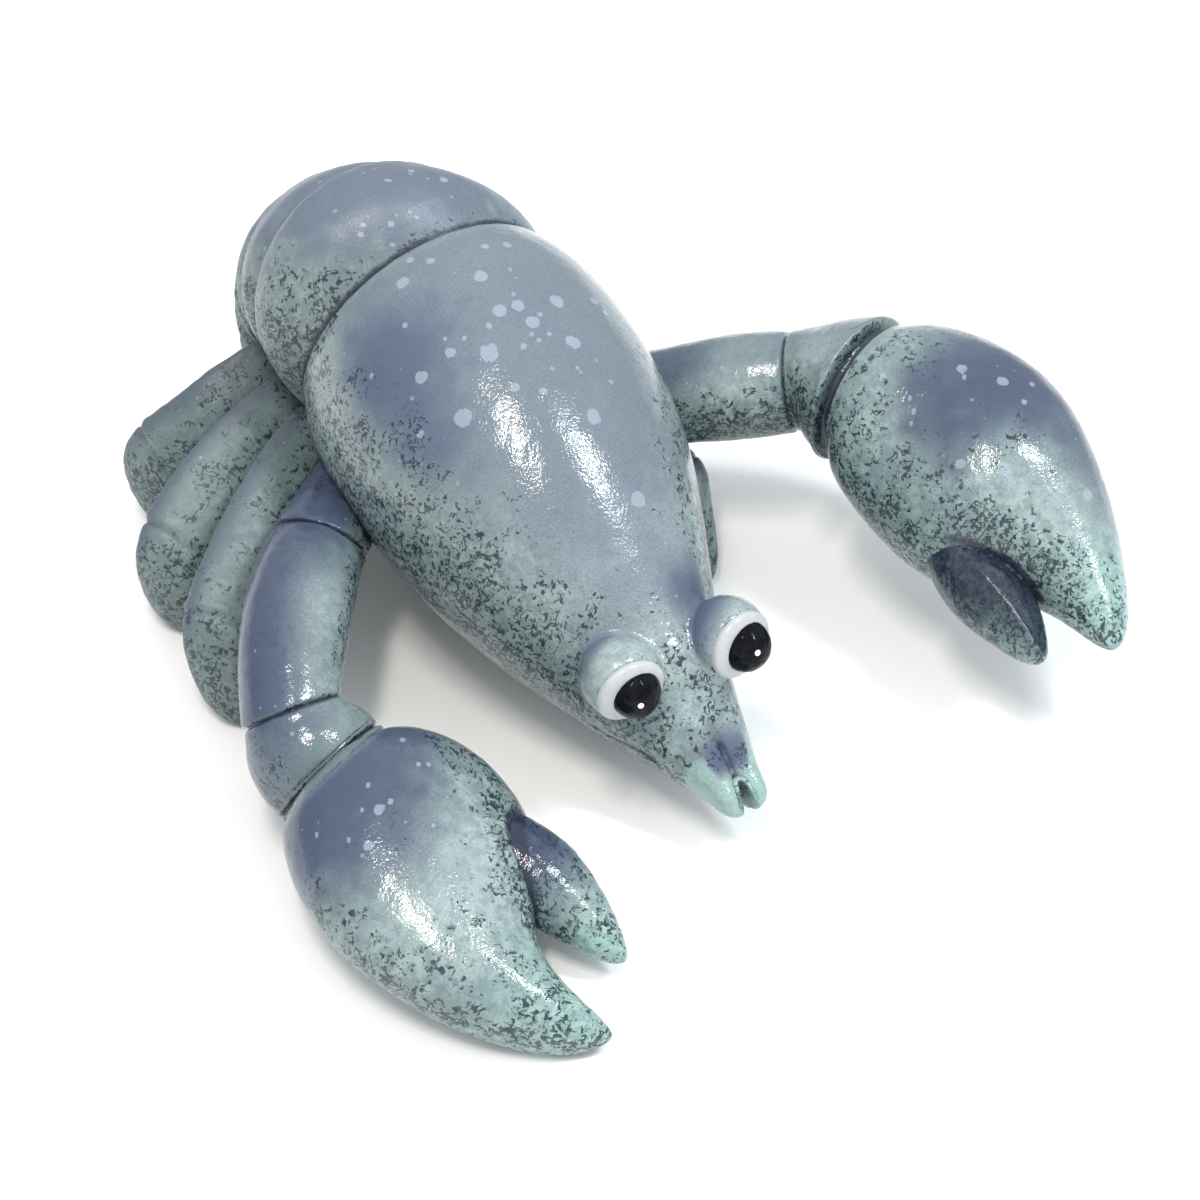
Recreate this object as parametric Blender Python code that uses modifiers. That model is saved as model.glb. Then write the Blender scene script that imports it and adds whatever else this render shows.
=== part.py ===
"""Lobster figurine: a cast and painted table ornament, as an assembly of its sculpted pieces.

Sizes are in millimetres and become metres in the mesh. The lobster faces -Y, its left is +X
and the table top is Z = 0. Soft forms are coarse cages of rings under Subdivision Surface.
Neighbours on one line of the body meet at a joint plane, and other neighbours are seated
by cutting one with a copy of the other that is larger by the seam.
"""

import math

import bmesh
import bpy
from mathutils import Matrix, Vector

MM = 0.001
SEAM = 0.3
SIDES = {1: "left", -1: "right"}

# Body line: the carapace's rear rim, and the axis that runs down from it to the nose.
RIM_Y = 18.9
RIM_Z = 53.0
BODY_PITCH = 15.0
CARAPACE_LENGTH = 128.0
NOSE_DROOP = 6.8
RIM_OVERRUN = 8.0
RIM_TAPER = 2.0
# Along the axis as a share of the length, then half width, height over and depth under the
# axis, and sway to the left.
CARAPACE_RINGS = (
    (0.00, 31.6, 33.0, 29.0, 0.0),
    (0.06, 34.0, 35.3, 30.6, 0.0),
    (0.14, 35.8, 36.7, 31.5, 0.0),
    (0.28, 36.2, 36.3, 30.9, -0.2),
    (0.43, 33.0, 33.4, 28.5, -0.8),
    (0.575, 26.2, 27.2, 24.2, -2.1),
    (0.71, 18.2, 19.6, 19.2, -2.6),
    (0.82, 12.4, 12.4, 14.0, -1.6),
    (0.91, 8.4, 7.2, 9.6, -0.5),
)
SNOUT_HALF_WIDTH = 6.0
SNOUT_HALF_HEIGHT = 4.8
SNOUT_SETBACK = 5.0
SNOUT_TIP = 2.6
SPLIT_LENGTH = 17.0
SPLIT_WIDTH = 4.2
SPLIT_ROOT = 0.3
SPLIT_DEPTH = 9.0
SPLIT_OVERRUN = 4.0

# Eyes: a lidded bulb on each side of the head, with a white ball and a black pupil in it.
# The share of the carapace's length they stand at, and the rise and sway from its axis there.
EYE_SHARE = 0.771
EYE_RISE = 13.2
EYE_SWAY = -2.05
EYE_SPREAD = 12.15
EYE_TURN = 4.1
LID_RADIUS = 8.4
LID_WALL = 1.0
EYEBALL_RADIUS = LID_RADIUS - LID_WALL
LID_OPENING = 60.0
LID_WINDOW_ROOT = 0.8
WHITE_RIM = 2.4
PUPIL_RADIUS = EYEBALL_RADIUS - WHITE_RIM
PUPIL_BULGE = 2.75
# Lift and turn of the gaze in degrees.
GAZE = {"right": (-4.1, -4.1), "left": (4.6, 8.4)}

# Abdomen: overlapping rings between planes that fan out from a pivot under the back.
FAN_RADIUS = 42.0
# Fan angle of a joint plane, then the groove's crest and belly from the middle line of the
# fan, its half width there, and how far the tail has swung to the right.
JOINT_PLANES = (
    (0.0, 32.0, -30.0, 30.5, 0.0),
    (19.0, 31.0, -20.0, 25.8, 7.0),
    (33.0, 25.0, -16.0, 22.8, 7.2),
    (45.0, 18.5, -16.0, 20.2, 7.0),
    (56.0, 12.5, -18.0, 18.5, 7.0),
    (67.0, 7.0, -20.0, 17.0, 7.5),
    (80.0, 2.0, -22.0, 15.5, 7.5),
)
# How far the crest and the flanks of each ring swell past its grooves.
RING_SWELL = ((6.5, 3.2), (4.0, 2.2), (3.2, 1.8), (2.8, 2.0), (2.6, 2.0), (2.4, 1.8))
# Where a ring's widest and rear stations lie, as shares of its span, and what is left of the swell.
RING_FRONT = 0.08
RING_REAR = 0.12
RING_LIP = 0.7
RING_OVERRUN = 0.3
RING_STEP = 2.2

# Tail fan: a middle lobe and two side lobes on each side, down and back to the table.
# Path of a lobe as distance behind the last ring's middle and height over the table.
LOBE_PATH = ((-3.0, 27.0), (1.0, 18.0), (7.0, 10.0), (15.0, 5.2), (24.0, 3.6), (29.0, 3.0))
LOBE_THICKNESS = (4.0, 4.2, 4.2, 3.6, 2.8)
TELSON_WIDTHS = (7.0, 8.5, 10.0, 10.5, 8.0)
UROPOD_WIDTHS = (5.0, 7.0, 9.5, 10.0, 7.5)
UROPOD_SPLAY = (22.0, 42.0)
UROPOD_LENGTH = (0.95, 0.84)
UROPOD_DROP = (1.5, 2.6)
UROPOD_ROOT = (7.0, 12.0)
FAN_Y = 58.0
FAN_SWING = 7.5
LOBE_FLOOR = 2.2

# Breast plate under the carapace, which carries the legs.
STERNUM_FRONT = -34.0
STERNUM_REAR = 40.0
STERNUM_HALF_WIDTH = 23.0
STERNUM_FLOOR = 7.0
STERNUM_MID = 15.0
# Share of the plate's length, then of its half width.
STERNUM_OUTLINE = ((0.08, 0.62), (0.3, 0.95), (0.6, 1.0), (0.85, 0.8))

# Walking legs. Each row: ridge point, then the way from the ridge to the lower edge, and thickness.
LEGS = {
    "right": (
        (
            ((-21, 30, 42), (4, -9, -16), 7.0),
            ((-42, 20, 38), (5, -13, -18), 8.4),
            ((-57, 10, 33), (6, -15, -19), 10.0),
            ((-69, 1, 28), (9, -16, -17), 11.5),
            ((-74.5, -2, 19), (12, -16, -12), 12.0),
            ((-74, -5, 10), (11, -14, -7), 11.0),
            ((-72, -7, 1), (9, -10, -3), 9.0),
        ),
        (
            ((-19, 39, 42), (4, -8, -15), 6.5),
            ((-37, 35.5, 40.5), (5, -12, -18), 7.6),
            ((-52, 32, 35), (6, -14, -19), 9.6),
            ((-65, 27.5, 28), (9, -15, -17), 11.5),
            ((-71, 26, 19.5), (12, -14, -12), 12.0),
            ((-70.5, 25.5, 10), (11, -12, -7), 11.0),
            ((-68, 25, 1), (9, -9, -3), 9.0),
        ),
        (
            ((-18, 49, 44), (4, -7, -14), 6.0),
            ((-36, 47.5, 41.5), (5, -10, -17), 7.2),
            ((-46, 49, 35.5), (6, -12, -18), 9.0),
            ((-54.5, 54, 27.5), (9, -12, -16), 10.8),
            ((-58.5, 57, 19.5), (11, -11, -11), 11.2),
            ((-57.5, 57, 10), (10, -10, -7), 10.2),
            ((-55, 56, 1), (8, -8, -3), 8.4),
        ),
        (
            ((-17, 56, 35), (4, -4, -12), 5.0),
            ((-30, 56.5, 34), (5, -6, -13), 6.0),
            ((-36, 58, 31), (6, -7, -13), 7.0),
            ((-41, 60, 25), (7, -7, -11), 8.0),
            ((-43.5, 62, 17), (8, -7, -8), 8.4),
            ((-42.5, 62, 9), (7, -6, -5), 7.8),
            ((-40.5, 61, 1), (6, -5, -3), 6.6),
        ),
    ),
    "left": (
        (
            ((18, 14, 25), (-4, -5, -11), 7.0),
            ((30, 3, 23.5), (-6, -5, -13), 8.0),
            ((40, -6, 22.6), (-8, -5, -14), 9.2),
            ((47, -14.5, 22.2), (-9, -6, -15), 10.2),
            ((46.6, -21.5, 20.5), (-10, -7, -11), 10.4),
            ((44.2, -26, 12), (-10, -7, -7), 9.6),
            ((41, -28.5, 1), (-8, -6, -3), 8.2),
        ),
        (
            ((12, 37, 43), (-4, -9, -15), 6.5),
            ((36, 28, 40), (-5, -12, -18), 7.6),
            ((45, 22, 35), (-6, -13, -19), 9.6),
            ((51, 17.5, 27.5), (-9, -14, -16), 11.0),
            ((54, 16, 18), (-11, -13, -11), 11.4),
            ((53, 15, 9.5), (-10, -12, -7), 10.4),
            ((50, 14, 1), (-8, -9, -3), 8.6),
        ),
        (
            ((4, 48, 43), (-3, -7, -14), 6.0),
            ((28, 45, 42), (-5, -10, -17), 7.2),
            ((43, 41.5, 35), (-6, -12, -18), 9.0),
            ((49, 41, 27.5), (-9, -12, -16), 10.6),
            ((52, 41, 18.5), (-11, -11, -11), 11.0),
            ((51, 40.5, 9.5), (-10, -10, -7), 10.0),
            ((48, 39.5, 1), (-8, -8, -3), 8.2),
        ),
        (
            ((0, 57, 36), (-3, -4, -12), 5.0),
            ((22, 57, 36), (-4, -6, -14), 6.0),
            ((38, 59, 29.5), (-6, -7, -15), 7.4),
            ((42.5, 62, 23.5), (-8, -7, -13), 8.6),
            ((45, 64.5, 16.5), (-9, -7, -9), 9.0),
            ((44, 64.5, 9), (-8, -6, -6), 8.2),
            ((41.5, 63.5, 1), (-7, -5, -3), 6.8),
        ),
    ),
}
KNEE_ROW = 3

# Arms. Each row: centre, then radius. A joint row ends one piece and starts the next.
ARMS = {
    "right": (
        ((-20, 14, 30), 8.0),
        ((-31, 3, 31.4), 9.0),
        ((-42.6, -7.6, 33), 9.8),
        ((-46.6, -11.8, 33.8), 10.4),
        ((-51.8, -17.6, 34.2), 10.9),
        ((-59, -26.5, 34.2), 11.3),
        ((-65.2, -35.5, 32), 11.0),
        ((-69.6, -44, 27.8), 10.3),
        ((-70.2, -48, 24), 12.0),
        ((-69, -51.5, 20.6), 13.2),
        ((-67.1, -54.5, 18), 13.2),
    ),
    "left": (
        ((18, 6, 28), 8.0),
        ((30, 0.5, 30.5), 9.0),
        ((38.5, -4, 32.6), 9.8),
        ((42.5, -7, 33.6), 10.4),
        ((48, -11.3, 35.2), 10.9),
        ((54, -16.2, 37.2), 11.6),
        ((60, -21, 39), 11.6),
        ((65.5, -25.4, 40.3), 10.8),
        ((69, -31, 41.6), 13.4),
        ((71.5, -35.5, 42.5), 15.6),
        ((74.2, -39.6, 43), 16.6),
    ),
}
# Heading from -Y towards +X, and dip, of the joint plane at a row.
SHOULDER_ROW = 2
ELBOW_ROW = 7
WRIST_ROW = 10
JOINT_WAYS = {
    "right": {SHOULDER_ROW: (-51.0, 26.0), ELBOW_ROW: (-6.0, 40.0), WRIST_ROW: (20.0, 28.0)},
    "left": {SHOULDER_ROW: (59.0, -12.0), ELBOW_ROW: (46.7, -15.0), WRIST_ROW: (16.0, 0.0)},
}
JOINT_OVERRUN = 6.0
JOINT_TAPER = 1.0

# Claws. Each row: centre, heading from -Y towards +X, half width, height over and depth under.
PALMS = {
    "right": (
        ((-65.8, -60.5, 17.4), 6, 17.8, 16.0, 16.2),
        ((-64.2, -68.5, 17), 6, 22.6, 17.4, 17.0),
        ((-63.6, -79, 15.8), 6, 24.2, 16.8, 17.0),
        ((-63.5, -90, 14.6), 8, 23.2, 16.0, 16.0),
        ((-64.2, -101, 12.8), 12, 18.6, 14.0, 14.5),
        ((-64.8, -112, 10.2), 22, 11.6, 11.0, 12.0),
        ((-60, -121.8, 7.4), 38, 7.4, 8.0, 9.0),
        ((-55, -127.5, 5.6), 46, 4.4, 5.0, 6.0),
    ),
    "left": (
        ((76.2, -45, 43.4), 12, 20.2, 18.0, 17.0),
        ((78, -53.5, 43), 6, 23.2, 18.4, 17.0),
        ((80, -64, 41), 4, 24.6, 17.6, 16.4),
        ((80.8, -75, 39), 0, 24.2, 17.0, 15.5),
        ((81.4, -86, 36.2), -4, 20.2, 15.5, 14.0),
        ((84.6, -96.6, 33), -10, 12.6, 12.0, 11.0),
        ((82.8, -107.5, 30.2), -24, 7.4, 8.4, 7.6),
        ((80.8, -114.5, 28.8), -30, 4.5, 5.2, 4.6),
    ),
}
CLAW_TIPS = {"right": (-48.8, -133, 4), "left": (78.2, -120.8, 28)}
CLAW_ROLL = {"right": 12.0, "left": 16.0}
FINGERS = {
    "right": (
        ((-50.5, -79, 16), 18, 5.5, 6.0),
        ((-48, -87.6, 15.4), 18, 7.4, 8.6),
        ((-44.4, -96.1, 13.6), 12, 8.0, 8.4),
        ((-42.2, -104.7, 11), 8, 6.8, 6.8),
        ((-40.6, -112.2, 8.6), 4, 4.4, 4.6),
    ),
    "left": (
        ((63.5, -73, 33.5), -8, 6.0, 6.0),
        ((64.8, -82.2, 32), -8, 8.4, 8.4),
        ((67, -91.1, 30.2), -4, 9.2, 8.6),
        ((67.4, -101.2, 28.2), 0, 7.2, 7.0),
        ((66.9, -108.5, 26.6), 4, 4.2, 4.4),
    ),
}
FINGER_TIPS = {"right": (-39, -119.4, 6), "left": (66.4, -114, 25)}
FINGER_ROOT = 4.0

SHELL_BLUE = (0.27, 0.34, 0.45, 1.0)
SHELL_GREEN = (0.33, 0.45, 0.46, 1.0)
TIP_MINT = (0.42, 0.62, 0.58, 1.0)
EYE_WHITE = (0.80, 0.82, 0.84, 1.0)
PUPIL_BLACK = (0.012, 0.012, 0.015, 1.0)
LACQUER = 0.28


def fresh_collections():
    """Clears the scene and returns the collection of parts and the collection of cutters."""
    for item in list(bpy.data.objects):
        bpy.data.objects.remove(item, do_unlink=True)
    made = []
    for name in ("lobster_figurine", "cutters"):
        group = bpy.data.collections.new(name)
        bpy.context.scene.collection.children.link(group)
        made.append(group)
    return made


PARTS, CUTTERS = fresh_collections()


def finish(name, colour, roughness, metallic=0.0):
    """Material of one sub-part."""
    material = bpy.data.materials.new(name)
    material.use_nodes = True
    shader = material.node_tree.nodes["Principled BSDF"]
    shader.inputs["Base Color"].default_value = colour
    shader.inputs["Roughness"].default_value = roughness
    shader.inputs["Metallic"].default_value = metallic
    return material


def yz(y, z):
    return Vector((0.0, y, z))


def turned(vector, degrees, axis):
    return Matrix.Rotation(math.radians(degrees), 3, axis) @ vector


class Ring:
    """One ring of a cage: centre, unit vectors across and up, half width, height and depth."""

    def __init__(self, centre, across, up, width, top, bottom=None):
        self.centre = Vector(centre)
        self.across = across.normalized()
        self.up = up.normalized()
        self.width = width
        self.top = top
        self.bottom = top if bottom is None else bottom

    def points(self, sides, grow):
        """Cage points that put the subdivided surface at the stated half sizes plus grow."""
        reach = 3.0 / (2.0 + math.cos(math.tau / sides))
        found = []
        for k in range(sides):
            angle = math.tau * k / sides
            side, rise = math.cos(angle), math.sin(angle)
            height = self.top if rise > 0 else self.bottom
            offset = self.across * side * (self.width + grow) + self.up * rise * (height + grow)
            found.append(self.centre + offset * reach)
        return found


def tube_rings(rows, ways):
    """Rings square to the path of (centre, radius) rows, or to the way given for a row."""
    centres = [Vector(row[0]) for row in rows]
    rings = []
    for k, (_, radius) in enumerate(rows):
        ahead = centres[min(k + 1, len(rows) - 1)] - centres[max(k - 1, 0)]
        ahead = ways.get(k, ahead)
        across = ahead.cross(Vector((0, 0, 1)))
        rings.append(Ring(centres[k], across, across.cross(ahead), radius, radius))
    return rings


def cage(rings, sides, grow, start=None, end=None):
    """Closed cage through the rings, with a point at each end that is given."""
    shape = bmesh.new()
    loops = [[shape.verts.new(p * MM) for p in ring.points(sides, grow)] for ring in rings]
    for near, far in zip(loops, loops[1:]):
        for k in range(sides):
            shape.faces.new((near[k], near[(k + 1) % sides], far[(k + 1) % sides], far[k]))
    for loop, tip, inner in ((loops[0], start, rings[0]), (loops[-1], end, rings[-1])):
        if tip is None:
            shape.faces.new(loop)
            continue
        tip = Vector(tip)
        point = shape.verts.new((tip + (tip - inner.centre).normalized() * grow) * MM)
        for k in range(sides):
            shape.faces.new((loop[k], loop[(k + 1) % sides], point))
    bmesh.ops.recalc_face_normals(shape, faces=shape.faces)
    return shape


def evaluated_mesh(shape, levels):
    """Mesh of a cage after Subdivision Surface."""
    mesh = bpy.data.meshes.new("cage")
    shape.to_mesh(mesh)
    shape.free()
    holder = bpy.data.objects.new("cage", mesh)
    CUTTERS.objects.link(holder)
    smooth = holder.modifiers.new("Subdivision", "SUBSURF")
    smooth.levels = levels
    smooth.render_levels = levels
    graph = bpy.context.evaluated_depsgraph_get()
    result = bpy.data.meshes.new_from_object(holder.evaluated_get(graph))
    bpy.data.objects.remove(holder, do_unlink=True)
    bpy.data.meshes.remove(mesh)
    return result


def trimmed(mesh, planes):
    """Cuts away what lies past each (point, outward normal) plane and closes the cut flat."""
    shape = bmesh.new()
    shape.from_mesh(mesh)
    for point, normal in planes:
        everything = list(shape.verts) + list(shape.edges) + list(shape.faces)
        cut = bmesh.ops.bisect_plane(
            shape,
            geom=everything,
            dist=1e-7,
            plane_co=point * MM,
            plane_no=normal,
            clear_outer=True,
        )
        edges = [item for item in cut["geom_cut"] if isinstance(item, bmesh.types.BMEdge)]
        bmesh.ops.contextual_create(shape, geom=edges)
    bmesh.ops.recalc_face_normals(shape, faces=shape.faces)
    shape.to_mesh(mesh)
    shape.free()
    return mesh


class Form:
    """A subdivided cage with the joint planes that end it."""

    def __init__(self, rings, start=None, end=None, planes=(), sides=8, levels=2):
        self.rings = rings
        self.start = start
        self.end = end
        self.planes = planes
        self.sides = sides
        self.levels = levels

    def spread(self, grow):
        """The rings with the two end ones moved outwards by grow."""
        rings = list(self.rings)
        for here, inner in ((0, 1), (-1, -2)):
            ring = rings[here]
            away = (ring.centre - rings[inner].centre).normalized() * grow
            rings[here] = Ring(ring.centre + away, ring.across, ring.up, ring.width, ring.top, ring.bottom)
        return rings

    def mesh(self, grow=0.0):
        shape = cage(self.spread(grow), self.sides, grow, self.start, self.end)
        body = evaluated_mesh(shape, self.levels)
        kept = [(point + normal * (grow - SEAM / 2), normal) for point, normal in self.planes]
        return trimmed(body, kept)


def add_part(name, mesh, material):
    part = bpy.data.objects.new(name, mesh)
    mesh.materials.clear()
    mesh.materials.append(material)
    mesh.shade_smooth()
    mesh.set_sharp_from_angle(angle=math.radians(40))
    PARTS.objects.link(part)
    return part


def add_cutter(name, mesh):
    cutter = bpy.data.objects.new(name, mesh)
    cutter.hide_render = True
    cutter.display_type = "WIRE"
    CUTTERS.objects.link(cutter)
    return cutter


def carve(part, *cutters):
    for cutter in cutters:
        cut = part.modifiers.new(cutter.name, "BOOLEAN")
        cut.operation = "DIFFERENCE"
        cut.object = cutter


def ball_mesh(centre, radius, axis, segments=16, rings=9):
    """Sphere with its poles on the axis."""
    shape = bmesh.new()
    bmesh.ops.create_uvsphere(shape, u_segments=segments, v_segments=rings, radius=radius * MM)
    turn = Vector((0, 0, 1)).rotation_difference(axis).to_matrix().to_4x4()
    bmesh.ops.transform(shape, matrix=Matrix.Translation(Vector(centre) * MM) @ turn, verts=shape.verts)
    mesh = bpy.data.meshes.new("ball")
    shape.to_mesh(mesh)
    shape.free()
    return mesh


def cone_mesh(centre, axis, near_radius, far_radius, half_length, segments=18):
    """Frustum along the axis, which opens from its near radius to its far one."""
    shape = bmesh.new()
    bmesh.ops.create_cone(
        shape,
        cap_ends=True,
        segments=segments,
        radius1=near_radius * MM,
        radius2=far_radius * MM,
        depth=2 * half_length * MM,
    )
    turn = Vector((0, 0, 1)).rotation_difference(axis).to_matrix().to_4x4()
    bmesh.ops.transform(shape, matrix=Matrix.Translation(Vector(centre) * MM) @ turn, verts=shape.verts)
    mesh = bpy.data.meshes.new("cone")
    shape.to_mesh(mesh)
    shape.free()
    return mesh


RIM = yz(RIM_Y, RIM_Z)
FORWARD = turned(Vector((0, -1, 0)), BODY_PITCH, "X")
BODY_UP = turned(Vector((0, 0, 1)), BODY_PITCH, "X")
ACROSS = Vector((1, 0, 0))
TABLE = (Vector((0, 0, -SEAM / 2)), Vector((0, 0, -1)))


def body_point(share):
    """Point of the carapace's axis, with the droop that grows towards the nose."""
    return RIM + FORWARD * CARAPACE_LENGTH * share - BODY_UP * NOSE_DROOP * share * share


def carapace_form():
    rings = []
    first = CARAPACE_RINGS[0]
    behind = RIM - FORWARD * RIM_OVERRUN
    narrowed = [size - RIM_TAPER for size in first[1:4]]
    rings.append(Ring(behind, ACROSS, BODY_UP, *narrowed))
    for share, width, top, bottom, sway in CARAPACE_RINGS:
        centre = body_point(share) + ACROSS * sway
        rings.append(Ring(centre, ACROSS, BODY_UP, width, top, bottom))
    nose = body_point(1.0) - FORWARD * SNOUT_SETBACK
    rings.append(Ring(nose, ACROSS, BODY_UP, SNOUT_HALF_WIDTH, SNOUT_HALF_HEIGHT))
    tip = body_point(1.0) + FORWARD * SNOUT_TIP
    return Form(rings, end=tip, planes=[(RIM, -FORWARD)], sides=14, levels=1)


def fan_plane(angle):
    """Pivot-fan direction and the normal that points on towards the tail."""
    return turned(BODY_UP, -angle, "X"), turned(-FORWARD, -angle, "X")


PIVOT = RIM - BODY_UP * FAN_RADIUS


def fan_ring(angle, crest, belly, width, swing):
    up, _ = fan_plane(angle)
    half = (crest - belly) / 2
    centre = PIVOT + up * (FAN_RADIUS + (crest + belly) / 2) - ACROSS * swing
    return Ring(centre, ACROSS, up, width, half)


def abdomen_form(k):
    """Ring k of the abdomen, from its front joint plane to its rear one."""
    front, rear = JOINT_PLANES[k], JOINT_PLANES[k + 1]
    crest_swell, side_swell = RING_SWELL[k]
    span = rear[0] - front[0]
    middle = [(a + b) / 2 for a, b in zip(front, rear)]
    lead = RING_STEP * 2
    lip = RING_LIP
    rings = [
        fan_ring(front[0] - span * RING_OVERRUN, front[1] - lead, front[2], front[3] - lead, front[4]),
        fan_ring(front[0] + span * RING_FRONT, *front[1:]),
        fan_ring(middle[0], middle[1] + crest_swell, middle[2], middle[3] + side_swell, middle[4]),
        fan_ring(
            rear[0] - span * RING_REAR,
            rear[1] + crest_swell * lip,
            rear[2],
            rear[3] + side_swell * lip,
            rear[4],
        ),
        fan_ring(
            rear[0] + span * RING_OVERRUN,
            rear[1] - RING_STEP,
            rear[2],
            rear[3] - RING_STEP,
            rear[4],
        ),
    ]
    planes = []
    for angle, way in ((front[0], -1), (rear[0], 1)):
        _, normal = fan_plane(angle)
        planes.append((PIVOT, normal * way))
    return Form(rings, planes=planes, sides=14, levels=1)


def lobe_form(widths, splay, reach, drop, root):
    """One lobe of the tail fan, swung outwards by splay."""
    rings = []
    swing = Matrix.Rotation(math.radians(splay), 3, "Z")
    points = []
    for behind, height in LOBE_PATH:
        out = swing @ yz(behind * reach, 0)
        points.append(Vector((root - FAN_SWING, FAN_Y, max(height - drop, LOBE_FLOOR))) + out)
    across = swing @ ACROSS
    for k, (width, thickness) in enumerate(zip(widths, LOBE_THICKNESS)):
        ahead = points[k + 1] - points[max(k - 1, 0)]
        rings.append(Ring(points[k], across, across.cross(ahead), width, thickness))
    return Form(rings, end=points[-1], planes=[TABLE], sides=6, levels=1)


def sternum_form():
    rows = []
    length = STERNUM_REAR - STERNUM_FRONT
    for share, spread in STERNUM_OUTLINE:
        y = STERNUM_FRONT + length * share
        rows.append((y, STERNUM_HALF_WIDTH * spread))
    depth = STERNUM_MID - STERNUM_FLOOR
    rings = [Ring(yz(y, STERNUM_MID), ACROSS, Vector((0, 0, 1)), width, depth) for y, width in rows]
    return Form(
        rings,
        start=yz(STERNUM_FRONT, STERNUM_MID + depth / 2),
        end=yz(STERNUM_REAR, STERNUM_MID),
        sides=8,
        levels=1,
    )


def blade_ring(ridge, way, thickness, ahead):
    """Ring of a leg: its long axis runs from the ridge to the lower edge."""
    ridge, way = Vector(ridge), Vector(way)
    across = ahead.cross(way)
    return Ring(ridge + way / 2, across, -way, thickness / 2, way.length / 2)


def leg_forms(rows):
    """Upper leg and foot, parted at the knee."""
    middles = [Vector(row[0]) + Vector(row[1]) / 2 for row in rows]
    rings = []
    for k, (ridge, way, thickness) in enumerate(rows):
        ahead = middles[min(k + 1, len(rows) - 1)] - middles[max(k - 1, 0)]
        rings.append(blade_ring(ridge, way, thickness, ahead))
    knee = middles[KNEE_ROW]
    along = (middles[KNEE_ROW + 1] - middles[KNEE_ROW - 1]).normalized()
    upper = Form(rings[: KNEE_ROW + 2], planes=[(knee, along), TABLE], sides=8, levels=1)
    foot = Form(rings[KNEE_ROW - 1 :], planes=[(knee, -along), TABLE], sides=8, levels=1)
    return upper, foot


def arm_forms(side):
    """Shoulder, upper arm and wrist of one side, and the joint planes between them."""
    ways = {k: way_of(*way) for k, way in JOINT_WAYS[side].items()}
    rings = tube_rings(ARMS[side], ways)
    joints = {k: (rings[k].centre, way) for k, way in ways.items()}
    forms = {}
    spans = {
        "shoulder": (0, SHOULDER_ROW),
        "upper_arm": (SHOULDER_ROW, ELBOW_ROW),
        "wrist": (ELBOW_ROW, WRIST_ROW),
    }
    for name, (first, last) in spans.items():
        planes = [joints[last]]
        if first:
            point, normal = joints[first]
            planes.append((point, -normal))
        low = max(first - 1, 0)
        over = past_end(rings[last], joints[last][1])
        forms[name] = Form(rings[low : last + 1] + [over], planes=planes, levels=1)
    return forms, joints


def way_of(heading, dip=0.0):
    """Unit vector turned from -Y towards +X by heading and down by dip."""
    return turned(turned(Vector((0, -1, 0)), dip, "X"), heading, "Z")


def past_end(ring, way):
    """A ring a little past a joint, so that the joint plane has material to cut."""
    radius = ring.width - JOINT_TAPER
    return Ring(ring.centre + way * JOINT_OVERRUN, ring.across, ring.up, radius, radius)


def claw_ring(row, roll):
    centre, heading, width, top = row[:4]
    bottom = row[4] if len(row) > 4 else top
    ahead = way_of(heading)
    across = Matrix.Rotation(math.radians(roll), 3, ahead) @ turned(ACROSS, heading, "Z")
    return Ring(centre, across, ahead.cross(across), width, top, bottom)


def claw_forms(side, wrist_joint):
    """Palm with its fixed finger, and the movable finger beside it."""
    roll = CLAW_ROLL[side]
    point, normal = wrist_joint
    radius = ARMS[side][WRIST_ROW][1]
    across = normal.cross(Vector((0, 0, 1))) * -1
    up = across.cross(normal) * -1
    mouth = Ring(point, across, up, radius, radius)
    start = past_end(mouth, -normal)
    rings = [start, mouth] + [claw_ring(row, roll) for row in PALMS[side]]
    palm = Form(rings, end=CLAW_TIPS[side], planes=[(point, -normal), TABLE], sides=10, levels=1)
    finger_rings = [claw_ring(row, roll) for row in FINGERS[side]]
    first = finger_rings[0].centre
    root = first - (finger_rings[1].centre - first).normalized() * FINGER_ROOT
    finger = Form(finger_rings, start=root, end=FINGER_TIPS[side], planes=[TABLE], levels=1)
    return palm, finger


def gaze_of(side):
    lift, turn = GAZE[side]
    return way_of(turn, -lift)


def eye_centre(sign):
    middle = body_point(EYE_SHARE) + BODY_UP * EYE_RISE + ACROSS * EYE_SWAY
    return middle + turned(ACROSS * sign * EYE_SPREAD, -EYE_TURN, "Z")


def build_eye(sign, carapace, finishes):
    side = SIDES[sign]
    centre, gaze = eye_centre(sign), gaze_of(side)
    lid = add_part("eye_lid_" + side, ball_mesh(centre, LID_RADIUS, gaze), finishes["shell"])
    socket = add_cutter("cut_eye_" + side, ball_mesh(centre, EYEBALL_RADIUS + SEAM, gaze))
    opening = LID_RADIUS * math.tan(math.radians(LID_OPENING))
    half = LID_RADIUS
    mouth = cone_mesh(centre + gaze * half, gaze, LID_WINDOW_ROOT, opening * 2, half)
    window = add_cutter("cut_lid_" + side, mouth)
    carve(lid, socket, window)
    ball = add_part("eyeball_" + side, ball_mesh(centre, EYEBALL_RADIUS, gaze), finishes["white"])
    depth = EYEBALL_RADIUS + PUPIL_BULGE - PUPIL_RADIUS
    pupil_at = centre + gaze * depth
    pupil = add_part("pupil_" + side, ball_mesh(pupil_at, PUPIL_RADIUS, gaze), finishes["black"])
    recess = add_cutter("cut_pupil_" + side, ball_mesh(pupil_at, PUPIL_RADIUS + SEAM, gaze))
    carve(ball, recess)
    seat = add_cutter("cut_seat_" + side, ball_mesh(centre, LID_RADIUS + SEAM, gaze))
    carve(carapace, seat)
    return lid, ball, pupil


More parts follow.
